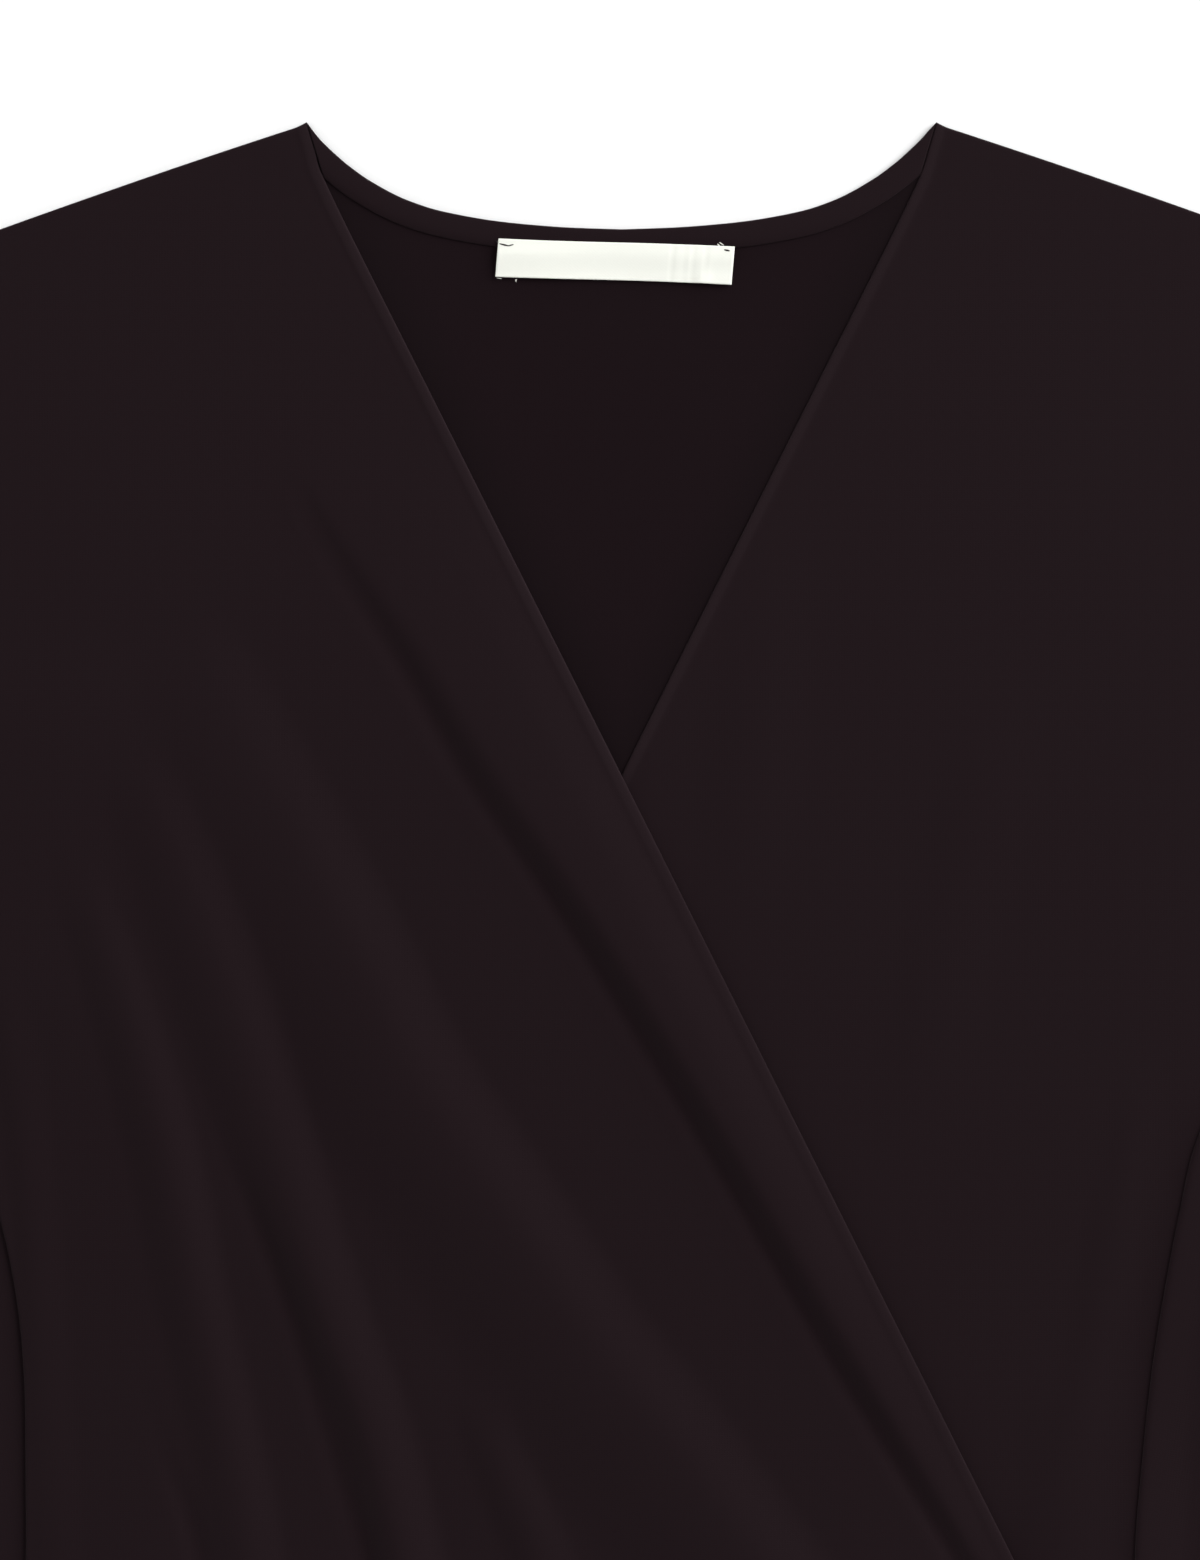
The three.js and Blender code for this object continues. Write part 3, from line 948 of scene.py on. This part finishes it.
def over_folds(x, y):
    """The over front's folds, with narrow creases between them."""
    from_side = body_half(y) + x
    loose = smooth(inside_wrap(x, y) / 16) * smooth((-y - 70) / 120) * smooth((from_side - 6) / 40)
    loose = loose * smooth((y + LENGTH - 25) / 60)
    slack_cloth = SLACK_HEIGHT * loose
    crease = np.minimum(fold_height(OVER_CREASES, x, y, 1.5), slack_cloth)
    ridges = fold_height(OVER_RIDGES, x, y)
    return (slack_cloth - crease + ridges) * smooth((150 - x) / 22)


def right_sleeve_base(x, y):
    """The right sleeve lies on the floor."""
    return np.zeros_like(x)


def left_sleeve_base(x, y):
    """The left sleeve lies on the floor and, low down, on the body's side."""
    low = smooth((SLEEVE_UP_Y - y) / SETTLE)
    near = covered(body_half(y) - x)
    over_wrap = smooth((inside_wrap(x, y) + TOUCH + 14) / 14)
    over_edges = smooth((OVER_HEMS_Y - y) / 30) + over_wrap
    trims = ripple(x, y) + SLEEVE_CLEARANCE + EDGE_LIFT * over_edges
    body = LAYER * (2 + over_wrap) + slack(over_wrap) + fold_height(UNDER_RIDGES, x, y) + trims
    return low * near * body


def front_shade(x, y):
    """Where shadow is painted on the back: 1 beside and under the wrap edges, 0 in the middle of the neck.
    """
    clear = -np.maximum(inside_wrap(x, y), inside_wrap(-x, y))
    return smooth(1 - clear / SHADE_WIDTH)


def rounding(gap, radius):
    """How far an edge's round takes the cloth's skin in, from the distance to the edge."""
    inside = np.clip(radius - gap, 0, radius)
    return radius - np.sqrt(np.clip(radius**2 - inside**2, 0, None))


# Meshes


def new_piece(name, made, material, node):
    """The object of a finished bmesh, riding on the frame in place of a CAD node."""
    mesh = bpy.data.meshes.new(name)
    made.to_mesh(mesh)
    made.free()
    mesh.materials.append(material)
    for polygon in mesh.polygons:
        polygon.use_smooth = True
    piece = bpy.data.objects.new(name, mesh)
    bpy.context.scene.collection.objects.link(piece)
    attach(piece, "root")
    if node:
        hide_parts(node)
    return piece


def grid_mesh(rows, columns):
    """A grid of rows and columns, its vertices sorted row by row."""
    made = bmesh.new()
    bmesh.ops.create_grid(made, x_segments=columns, y_segments=rows, size=1.0)
    made.verts.sort(key=lambda vertex: vertex.co.x - 4 * round(vertex.co.y * 1e5))
    return made


def lay_out(made, points, grain):
    """Moves a grid's vertices to points in millimetres and gives the grid its grain map."""
    layer = made.loops.layers.uv.new("grain")
    for vertex, point in zip(made.verts, points.reshape(-1, 3)):
        vertex.co = (point[0] * MM, (point[1] + LIFT_Y) * MM, point[2] * MM)
    flat = grain.reshape(-1, 2) * MM
    made.verts.index_update()
    for face in made.faces:
        for loop in face.loops:
            loop[layer].uv = flat[loop.vert.index]


def cloth_mesh(over, under, grain, painted_light=None):
    """A closed piece of cloth from its upper and lower skin, which share their rim. The last argument is
    how far each point has its material's second colour, the painted light or shade, from 0 to 1."""
    rows, columns = over.shape[0] - 1, over.shape[1] - 1
    made = grid_mesh(rows, columns)
    lay_out(made, over, grain)
    painted_share = made.verts.layers.float.new("painted_light")
    if painted_light is not None:
        for vertex, share in zip(made.verts, painted_light.ravel()):
            vertex[painted_share] = share
    lower = bmesh.ops.duplicate(made, geom=made.verts[:] + made.edges[:] + made.faces[:])
    copies = [item for item in lower["geom"] if isinstance(item, bmesh.types.BMVert)]
    faces = [item for item in lower["geom"] if isinstance(item, bmesh.types.BMFace)]
    drop = (under - over).reshape(-1, 3) * MM
    for vertex, step in zip(copies, drop):
        vertex.co += Vector(step)
    bmesh.ops.reverse_faces(made, faces=faces)
    bmesh.ops.remove_doubles(made, verts=made.verts[:], dist=1e-7)
    bmesh.ops.recalc_face_normals(made, faces=made.faces[:])
    return made


def panel_mesh(plan, cells, base_at, trim_at, painted_at):
    """A body panel: a grid over its plan, crowded at its edges, with rounded rims."""
    rows, columns = cells
    sizes = bpy.context.scene.cloth_sizes
    wall = sizes.wall / MM
    v = np.repeat(graded(LENGTH - 20, rows, NEAR_EDGE)[:, None], columns + 1, axis=1)
    ends = plan.on("right", v[:, 0]) - plan.on("left", v[:, 0])
    u = np.stack([graded(width, columns, NEAR_EDGE) for width in np.hypot(*ends.T)])
    spots = plan.at(u, v)
    gaps = edge_gaps(spots)
    nearest = np.minimum.reduce(list(gaps.values()))
    base = base_at(spots[..., 0], spots[..., 1])
    thick, lift = trim_at(spots, gaps, sizes)
    whole = wall + thick
    fall = EDGE_FALL * rounding(nearest, EDGE_ROUND) / EDGE_ROUND
    over = np.dstack([spots, base + lift + whole * (1 - fall)])
    under = np.dstack([spots, base + lift + whole * rounding(nearest, 1 - EDGE_FALL)])
    return cloth_mesh(over, under, spots, painted_at(spots, gaps))


def painted_rim_sheen(wrap_side):
    """Where a painted sheen goes: the turned edge on a front's wrap side, less of it low down."""

    def painted_share(spots, gaps):
        width = bpy.context.scene.cloth_sizes.rim_width / MM
        low = smooth((-180 - spots[..., 1]) / 60)
        return smooth((width + 0.6 - gaps[wrap_side]) / 1.2) * (1 - 0.75 * low)

    return painted_share


def shade_mark(spots, gaps):
    """Where painted shade goes on the back's inside, near the wrap edges."""
    return front_shade(spots[..., 0], spots[..., 1])


def hem_trim(gap, sizes):
    """How much thicker the cloth is where its edge is turned up."""
    depth = sizes.hem_depth / MM
    return sizes.hem_step / MM * smooth((depth + 1 - gap) / 2)


def sewn(gap):
    """How far an upper panel's edge is pulled down to the one that it is sewn to."""
    return -0.04 * smooth(1 - gap / 5)


def front_trim(wrap_side, side, rim_end):
    """The trim of a front: its turned wrap edge, sewn side and shoulder, and its hem.
    The turned edge fades at rim_end from the shoulder, where the other front covers it."""

    def trim(spots, gaps, sizes):
        rim = sizes.rim_height / MM * smooth((sizes.rim_width / MM + 1.5 - gaps[wrap_side]) / 2.5)
        rim = rim * smooth((rim_end - gaps["top"]) / 15)
        thick = hem_trim(above_hem(spots[..., 0], spots[..., 1]), sizes) + rim
        lift = np.minimum(sewn(gaps[side]), sewn(gaps["top"]))
        return thick, lift

    return trim


def back_trim(spots, gaps, sizes):
    """The trim of the back: its hem."""
    thick = hem_trim(above_hem(spots[..., 0], spots[..., 1]), sizes)
    return thick, np.zeros_like(thick)


def side_line():
    """The body's left side, from the shoulder's end round the armhole to the hem."""
    return join_lines(curve(ARMHOLE, 101), curve(SIDE, 221))


def hem_line(count=201):
    """The hem, bowed a little downwards."""
    corner = SIDE[-1]
    line = straight((-corner.x, corner.y), (corner.x, corner.y), count)
    line[:, 1] -= HEM_BOW * (1 - (line[:, 0] / corner.x) ** 2)
    return line


def shoulder_line(count=101):
    """The right shoulder seam, from its outer end to the neck."""
    line = straight((-SHOULDER_HALF, 0), (-NECK_HALF, 0), count)
    line[:, 1] = shoulder_y(line[:, 0])
    return line


def wrap_line():
    """The over front's wrap edge, from the neck to the left side seam and down it to the hem."""
    rows = [
        Spot(-NECK_HALF, NECK[-1].y),
        Spot(-91.8, -8),
        Spot(-86.3, -22.8),
        Spot(wrap_x(-100), -100),
        Spot(wrap_x(-300), -300),
        Spot(wrap_x(-480), -480),
        Spot(float(x_on(SIDE, WRAP_END_Y)), WRAP_END_Y),
    ]
    foot = [rows[-1], Spot(SIDE[-1].x, SIDE[-1].y)]
    return join_lines(curve(rows, 281), curve(foot, 41))


def neck_line(count):
    """The back's neck edge, a little higher on the wearer's left."""
    half = curve(NECK, count // 2 + 1)
    line = join_lines(mirrored(half)[::-1], half)
    x = line[:, 0]
    line[:, 1] += NECK_LIFT * smooth((x - 50) / 40) * smooth((NECK_HALF - x) / 3)
    return line


def back_plan():
    """The back, from shoulder to shoulder over the scooped neck."""
    shoulder = shoulder_line(56)
    top = join_lines(join_lines(shoulder, neck_line(121)), mirrored(shoulder)[::-1])
    return Plan(mirrored(side_line()), side_line(), top, hem_line(len(top)))


def over_plan():
    """The wearer's right front, from its side seam to its wrap edge."""
    return Plan(mirrored(side_line()), wrap_line(), shoulder_line(), hem_line())


def under_plan():
    """The wearer's left front, which is the right one mirrored."""
    top = mirrored(shoulder_line())[::-1]
    return Plan(mirrored(wrap_line()), side_line(), top, hem_line())


# Sleeves


def left_sleeve_plan():
    """The left sleeve, whose inner fold lies over the body."""
    return sleeve_plan(INNER_OVER)


def sleeve_plan(inner_rows):
    """A left sleeve between its inner fold, outer fold, head and cuff."""
    upper = [spot for spot in ARMHOLE if spot.y > inner_rows[0].y]
    head = curve([*upper, inner_rows[0]], 101)[::-1] + np.array([ARMHOLE_GAP, 0.0])
    inner = curve(inner_rows, 241, 1.8)
    outer = curve(SLEEVE_OUTER, 241)
    inner[0] = head[0]
    outer[0] = head[-1]
    return Plan(inner, outer, head, straight(inner[-1], outer[-1], 101))


def right_sleeve_plan():
    """The right sleeve, whose inner fold lies under the body."""
    plan = sleeve_plan(INNER_UNDER)
    lines = {side: mirrored(line) for side, line in plan.lines.items()}
    return Plan(lines["right"], lines["left"], lines["top"][::-1], lines["bottom"][::-1])


def sleeve_mesh(plan, base_at, folds):
    """A sleeve: a tube of cloth pressed flat, with round folds at both sides and open ends."""
    sizes = bpy.context.scene.cloth_sizes
    wall = sizes.wall / MM
    rows, columns = SLEEVE_CELLS
    across = graded(100.0, columns, [0.0, 0.08, 0.25, 0.5, 0.9, 1.5, 2.6])
    head = [0.0, 0.0008, 0.002, 0.004]
    cuff = [0.992, 0.9975, 0.999, 1.0]
    down = np.concatenate([head, np.linspace(0.01, 0.985, rows), cuff])
    u, v = np.meshgrid(across, down)
    spots = plan.at(u, v)
    width = np.hypot(*(spots[:, -1] - spots[:, 0]).T)[:, None]
    inner_spots = plan.at(wall / width + u * (1 - 2 * wall / width), v)
    gaps = edge_gaps(spots)
    side_gap = np.minimum(gaps["left"], gaps["right"])
    end_gap = np.minimum(gaps["top"], gaps["bottom"])
    radius = wall + HOLLOW
    level = base_at(spots[..., 0], spots[..., 1]) + radius
    puff = fold_height(folds, spots[..., 0], spots[..., 1])
    clear = smooth((np.abs(spots[..., 0]) - body_half(spots[..., 1]) - 2) / 16)
    puff += SLEEVE_PUFF * clear * smooth((side_gap - 2) / 30)
    bulge = rounding(side_gap, 2.0) / 2.0
    closed = smooth(end_gap / 0.9)[..., None]
    skins = []
    for sign, lift, thick in ((1, puff, hem_trim(gaps["bottom"], sizes)), (-1, 0, 0)):
        drop = (1 + sign * FOLD_SINK) * bulge
        sunk = radius * FOLD_SINK * bulge
        outer = np.dstack([spots, level + sign * radius * (1 - drop) + lift + thick])
        inner = np.dstack([inner_spots, level + sign * HOLLOW * (1 - bulge) - sunk + lift])
        middle = (outer + inner) / 2
        skins.append((middle + (outer - middle) * closed, middle + (inner - middle) * closed))
    (top_outer, top_inner), (low_outer, low_inner) = skins
    outer = ring_of(top_outer, low_outer)
    return cloth_mesh(outer, ring_of(top_inner, low_inner), ring_grain(outer))


def ring_of(top, low):
    """One closed run of points round a flat tube, from its upper and lower layer."""
    ring = np.concatenate([top, low[:, ::-1][:, 1:]], axis=1)
    ring[:, -1] = ring[:, 0]
    return ring


def ring_grain(ring):
    """Millimetres round a tube and down it, for its knit."""
    quarter = (ring.shape[1] - 1) // 4
    steps = np.linalg.norm(np.diff(ring, axis=1), axis=2)
    around = np.hstack([np.zeros((len(ring), 1)), np.cumsum(steps, axis=1)])
    around = around - around[:, [quarter]]
    fall = np.linalg.norm(np.diff(ring[:, quarter], axis=0), axis=1)
    down = np.concatenate([[0.0], np.cumsum(fall)])
    return np.dstack([around, np.repeat(-down[:, None], ring.shape[1], axis=1)])


# Neck band and label


def band_lines(shares):
    """The neck band's upper and lower edge, which run up to the fronts' edges."""
    line = neck_line(3601)
    run = np.gradient(line, axis=0)
    run /= np.hypot(*run.T)[:, None]
    rising = wrap_line()[::-1]
    lines = []
    for inset in (0.0, BAND_WIDTH):
        moved = line + np.column_stack([run[:, 1], -run[:, 0]]) * inset
        edge = np.interp(moved[:, 1], rising[:, 1], -rising[:, 0])
        lines.append(along(moved[np.abs(moved[:, 0]) < edge - BAND_GAP], shares))
    return lines


def band_mesh():
    """The neck band: a soft roll of doubled cloth, stitched down along its lower edge."""
    columns = graded(BAND_LENGTH, 210, [0, 0.15, 0.5, 1.0, 1.8, 2.8])
    top, bottom = band_lines(columns)
    upper = [0, 0.012, 0.04, 0.09, 0.17, 0.3, 0.45]
    lower = [0.6, 0.74, 0.84, 0.9, 0.94, 0.97, 0.99, 1.0]
    share = np.array(upper + lower)
    v = np.repeat(share[:, None], len(columns), axis=1)
    spots = top[None] * (1 - v[..., None]) + bottom[None] * v[..., None]
    gap_top = v * BAND_WIDTH
    gap_low = (1 - v) * BAND_WIDTH
    ends = np.minimum(columns, 1 - columns)[None] * BAND_LENGTH * 1.2
    nearest = np.minimum(np.minimum(gap_top, gap_low), ends)
    high = BAND_HEIGHT + BAND_ROLL * np.sin(np.pi * v) - BAND_PULL * smooth(1 - gap_low / 1.6)
    turn = rounding(nearest, 0.4) / 0.8 * high
    over = np.dstack([spots, ON_BACK + high - turn])
    under = np.dstack([spots, ON_BACK + turn])
    return cloth_mesh(over, under, spots)


def label_spots(label, across, down):
    """Points on the label from shares of its width and height, in millimetres."""
    y = (0.5 - down) * label.height / MM
    x = (across - 0.5) * label.width / MM + LABEL_SHEAR * y
    cosine, sine = math.cos(label.turn), math.sin(label.turn)
    place_x = x * cosine - y * sine + LABEL_MIDDLE.x
    place_y = x * sine + y * cosine + LABEL_MIDDLE.y
    return np.stack([place_x, place_y], axis=-1)


def label_base(spots):
    """The label's underside: it steps down off the band and lies on the back."""
    below = NECK[0].y - BAND_WIDTH + 1.8 - spots[..., 1]
    on_band = smooth(1 - (below - 1) / 7)
    return ON_BACK + 0.3 + 0.75 * on_band


def label_mesh():
    """The label: a ribbon with a slight wave, a pucker at its tack and fine creases."""
    label = bpy.context.scene.label_sizes
    across = graded(label.width / MM, 96, [0, 0.1, 0.3, 0.7, 1.4])
    down = graded(label.height / MM, 24, [0, 0.1, 0.3, 0.6])
    u, v = np.meshgrid(across, down)
    spots = label_spots(label, u, v)
    spots[..., 1] += 0.25 * np.sin(np.pi * u) * (v - 0.4) - 0.12 * np.sin(2 * np.pi * u + 0.4)
    gap_x = np.minimum(u, 1 - u) * label.width / MM
    gap_y = np.minimum(v, 1 - v) * label.height / MM
    wall = label.wall / MM
    turn = rounding(np.minimum(gap_x, gap_y), wall / 2)
    wave = 0.16 * (1 + np.sin(u * 8.0 + 0.7 * np.sin(v * 3))) * smooth(v * 2.2)
    pucker = 0.4 * np.exp(-(((u - 0.875) / 0.03) ** 2 + ((v - 0.95) / 0.35) ** 2))
    creases = -0.12 * sum(np.exp(-(((u - at) / 0.006) ** 2)) for at in (0.74, 0.79, 0.83, 0.88))
    base = label_base(spots) + wave + pucker + creases + 0.15
    over = np.dstack([spots, base + wall - turn])
    under = np.dstack([spots, base + turn])
    return cloth_mesh(over, under, spots)


# Stitches and thread


def surface_of(names):
    """A function that gives the highest point of pieces at a place, and the way out of them there."""
    trees = []
    for name in names:
        piece = bpy.data.objects[name]
        made = bmesh.new()
        made.from_mesh(piece.data)
        trees.append(BVHTree.FromBMesh(made))
        made.free()

    def at(x, y):
        start = Vector((x * MM, (y + LIFT_Y) * MM, 1.0))
        hits = [tree.ray_cast(start, Vector((0, 0, -1))) for tree in trees]
        hits = [(hit[0], hit[1]) for hit in hits if hit[0] is not None]
        return max(hits, key=lambda hit: hit[0].z)

    return at


def add_thread(made, start, end, out, width, height):
    """A plump stitch from start to end, half sunk in the cloth whose way out is given."""
    way = (end - start).normalized()
    side = out.cross(way).normalized()
    up = way.cross(side)
    turn = Matrix((way, side, up)).transposed().to_4x4()
    size = Matrix.Diagonal(((end - start).length / 2, width / 2, height / 2, 1.0))
    place = Matrix.Translation((start + end) / 2)
    bmesh.ops.create_uvsphere(made, u_segments=8, v_segments=6, radius=1.0, matrix=place @ turn @ size)


def add_seam(made, line, surface, sizes):
    """A row of stitches along a line of points in millimetres."""
    pitch = sizes.stitch_length / MM * 1.3
    count = int(np.hypot(*np.diff(line, axis=0).T).sum() / pitch)
    spots = even(line, 2 * count + 1)
    for first in range(0, 2 * count, 2):
        middle = (spots[first] + spots[first + 1]) / 2
        way = spots[first + 1] - spots[first]
        way = way / np.hypot(*way) * sizes.stitch_length / MM / 2
        (start, out), (end, _) = surface(*(middle - way)), surface(*(middle + way))
        add_thread(made, start, end, out, THREAD_WIDTH * MM, THREAD_HEIGHT * MM)


def thread_piece(name, made, material):
    """The object of a bmesh of threads, which replaces no solid."""
    bmesh.ops.recalc_face_normals(made, faces=made.faces[:])
    return new_piece(name, made, material, None)


def needle_rows(sizes):
    """How far the two rows of stitches are from a turned edge, in millimetres."""
    return [sizes.hem_depth / MM - NEEDLE_INSET - row * sizes.needle_gap / MM for row in (0, 1)]


def sew_hem(thread, sizes):
    """The hem's stitches, on both fronts and a little way under the left sleeve."""
    made = bmesh.new()
    surface = surface_of(["right_front", "left_front"])
    for up in needle_rows(sizes):
        line = hem_line()
        line[:, 1] += up
        inside = np.abs(line[:, 0]) < x_on(SIDE, line[:, 1]) - 2
        inside &= line[:, 0] < x_on(INNER_OVER, line[:, 1]) + HEM_UNDER_SLEEVE
        add_seam(made, line[inside], surface, sizes)
    thread_piece("hem_stitches", made, thread)


def sew_cuff(side, plan, thread, sizes):
    """One cuff's stitches, on the sleeve's upper layer."""
    made = bmesh.new()
    surface = surface_of(["sleeve_" + side])
    across = np.linspace(0.015, 0.985, 60)
    for up in needle_rows(sizes):
        line = plan.at(across, np.full_like(across, 1 - up / CUFF_RUN))
        add_seam(made, line, surface, sizes)
    thread_piece("cuff_stitches_" + side, made, thread)


def label_threads(tacks, surface, label):
    """The threads of a table, laid on the label and what is round it."""
    made = bmesh.new()
    for tack in tacks:
        start, out = surface(*label_spots(label, tack.across, tack.down))
        end, _ = surface(*label_spots(label, tack.across_end, tack.down_end))
        add_thread(made, start, end, out, tack.thick * MM, tack.thick * MM * 0.7)
    return made


# The stage


def add_floor(scene):
    """The plain floor, just under the cloth."""
    made = bmesh.new()
    bmesh.ops.create_grid(made, x_segments=1, y_segments=1, size=FLOOR_REACH)
    bmesh.ops.translate(made, verts=made.verts[:], vec=(0, 0, -FLOOR_DROP))
    mesh = bpy.data.meshes.new("floor")
    made.to_mesh(mesh)
    made.free()
    shader = Shader("floor_matt")
    matt = shader.finish({"Base Color": colour4(scene.colours.floor), "Roughness": 0.9})
    mesh.materials.append(matt)
    floor = bpy.data.objects.new("floor", mesh)
    scene.collection.objects.link(floor)


def studio_world():
    """An even white tent, brighter low down all round."""
    world = bpy.data.worlds.new("studio")
    world.use_nodes = True
    nodes, links = world.node_tree.nodes, world.node_tree.links
    way = nodes.new("ShaderNodeTexCoord")
    parts = nodes.new("ShaderNodeSeparateXYZ")
    ramp = nodes.new("ShaderNodeMapRange")
    ramp.interpolation_type = "SMOOTHSTEP"
    for key, value in {"From Min": 0.05, "From Max": 0.4, "To Min": 3.0, "To Max": 0.36}.items():
        ramp.inputs[key].default_value = value
    links.new(way.outputs["Generated"], parts.inputs[0])
    links.new(parts.outputs["Z"], ramp.inputs["Value"])
    links.new(ramp.outputs[0], nodes["Background"].inputs["Strength"])
    nodes["Background"].inputs["Color"].default_value = (1, 1, 1, 1)
    return world


def add_softbox(name, place, size, power):
    """A square soft light that faces the neck."""
    light = bpy.data.lights.new(name, "AREA")
    light.shape = "SQUARE"
    light.size = size
    light.energy = power
    lamp = bpy.data.objects.new(name, light)
    lamp.location = place
    aim = Vector((0, 0.1, 0)) - Vector(place)
    lamp.rotation_mode = "QUATERNION"
    lamp.rotation_quaternion = aim.to_track_quat("-Z", "Y")
    bpy.context.scene.collection.objects.link(lamp)


# Operators


class WRAPTOP_OT_back(bpy.types.Operator):
    """Build the back panel"""

    bl_idname = "wraptop.back"
    bl_label = "Back"

    def execute(self, context):
        colours = context.scene.colours
        # the back's second colour is a painted shadow, darker beside and under the fronts' wrap edges
        material = jersey_material("knit_inside", colours.inside, scaled(colours.inside, 0.78))
        made = panel_mesh(back_plan(), BACK_CELLS, back_base, back_trim, shade_mark)
        piece = new_piece("back", made, material, "back_panel")
        return {"FINISHED"}


class WRAPTOP_OT_fronts(bpy.types.Operator):
    """Build both crossing fronts"""

    bl_idname = "wraptop.fronts"
    bl_label = "Fronts"

    def execute(self, context):
        jersey = context.scene.colours.jersey
        # painted sheen: the fronts' turned wrap edges are coloured lighter, standing in for light caught on
        # their roll
        painted_sheen = tuple(channel * 1.2 + 0.0018 for channel in jersey)
        material = jersey_material("knit_face", jersey, painted_sheen)
        trim = front_trim("left", "right", UNDER_RIM_END)
        under = panel_mesh(under_plan(), UNDER_CELLS, under_front_base, trim, painted_rim_sheen("left"))
        piece = new_piece("left_front", under, material, "left_front_under")
        trim = front_trim("right", "left", 2 * LENGTH)
        over = panel_mesh(over_plan(), OVER_CELLS, over_front_base, trim, painted_rim_sheen("right"))
        piece = new_piece("right_front", over, material, "right_front_over")
        return {"FINISHED"}


class WRAPTOP_OT_sleeves(bpy.types.Operator):
    """Build both sleeves"""

    bl_idname = "wraptop.sleeves"
    bl_label = "Sleeves"

    def execute(self, context):
        material = bpy.data.materials["knit_face"]
        left = sleeve_mesh(left_sleeve_plan(), left_sleeve_base, LEFT_SLEEVE_RIDGES)
        piece = new_piece("sleeve_left", left, material, "left_sleeve")
        right = sleeve_mesh(right_sleeve_plan(), right_sleeve_base, RIGHT_SLEEVE_RIDGES)
        piece = new_piece("sleeve_right", right, material, "right_sleeve")
        return {"FINISHED"}


class WRAPTOP_OT_neck(bpy.types.Operator):
    """Build the neck band and its label"""

    bl_idname = "wraptop.neck"
    bl_label = "Neck band and label"

    def execute(self, context):
        material = bpy.data.materials["knit_face"]
        band = new_piece("neck_band", band_mesh(), material, "back_neck_band")
        satin = satin_material(context.scene.colours.label)
        label = new_piece("label", label_mesh(), satin, "neck_label")
        return {"FINISHED"}


class WRAPTOP_OT_stitches(bpy.types.Operator):
    """Sew the hem, the cuffs and the label's corners"""

    bl_idname = "wraptop.stitches"
    bl_label = "Stitches"

    def execute(self, context):
        scene = context.scene
        thread = thread_material(scene.colours.thread)
        sew_hem(thread, scene.cloth_sizes)
        sew_cuff("left", left_sleeve_plan(), thread, scene.cloth_sizes)
        sew_cuff("right", right_sleeve_plan(), thread, scene.cloth_sizes)
        surface = surface_of(["label", "back", "neck_band"])
        made = label_threads(LABEL_TACKS, surface, scene.label_sizes)
        thread_piece("label_tacks", made, thread)
        made = label_threads(LABEL_FRAY, surface, scene.label_sizes)
        thread_piece("label_fray", made, bpy.data.materials["satin"])
        return {"FINISHED"}


class WRAPTOP_OT_stage(bpy.types.Operator):
    """Make the floor, the light and the camera"""

    bl_idname = "wraptop.stage"
    bl_label = "Stage"

    def execute(self, context):
        scene = context.scene
        add_floor(scene)
        scene.world = studio_world()
        add_softbox("key", place=(3.3, 2.18, 2.25), size=3.3, power=281)
        add_softbox("fill", place=(-2.2, 0.3, 2.0), size=2.4, power=14)
        scene.view_settings.view_transform = "Standard"
        lens = bpy.data.cameras.new("camera")
        lens.lens = LENS
        lens.clip_start = 0.01
        lens.clip_end = 50
        camera = bpy.data.objects.new("camera", lens)
        scene.collection.objects.link(camera)
        camera.location = (*FRAME_MIDDLE, FRAME_HEIGHT / 2 * LENS / HALF_SENSOR + CLOTH_TOP)
        scene.camera = camera
        return {"FINISHED"}


class WRAPTOP_PT_panel(bpy.types.Panel):
    """Lists the wrap top's pieces"""

    bl_idname = "WRAPTOP_PT_panel"
    bl_label = "Wrap top"
    bl_space_type = "VIEW_3D"
    bl_region_type = "UI"
    bl_category = "Wrap top"

    def draw(self, context):
        for operator in OPERATORS:
            self.layout.operator(operator.bl_idname)


GROUPS = {"cloth_sizes": ClothSizes, "label_sizes": LabelSizes, "colours": Colours}
OPERATORS = (
    WRAPTOP_OT_back,
    WRAPTOP_OT_fronts,
    WRAPTOP_OT_sleeves,
    WRAPTOP_OT_neck,
    WRAPTOP_OT_stitches,
    WRAPTOP_OT_stage,
)


def register():
    for name, group in GROUPS.items():
        bpy.utils.register_class(group)
        setattr(bpy.types.Scene, name, bpy.props.PointerProperty(type=group))
    for operator in OPERATORS:
        bpy.utils.register_class(operator)
    bpy.utils.register_class(WRAPTOP_PT_panel)


def unregister():
    bpy.utils.unregister_class(WRAPTOP_PT_panel)
    for operator in reversed(OPERATORS):
        bpy.utils.unregister_class(operator)
    for name, group in GROUPS.items():
        delattr(bpy.types.Scene, name)
        bpy.utils.unregister_class(group)


def corners(bounds):
    """A box's two corners as plain lists."""
    return [list(corner) for corner in bounds]


def main():
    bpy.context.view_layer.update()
    register()
    bpy.ops.wraptop.back()
    bpy.ops.wraptop.fronts()
    bpy.ops.wraptop.sleeves()
    bpy.ops.wraptop.neck()
    bpy.ops.wraptop.stitches()
    bpy.ops.wraptop.stage()


if __name__ == "__main__":
    main()
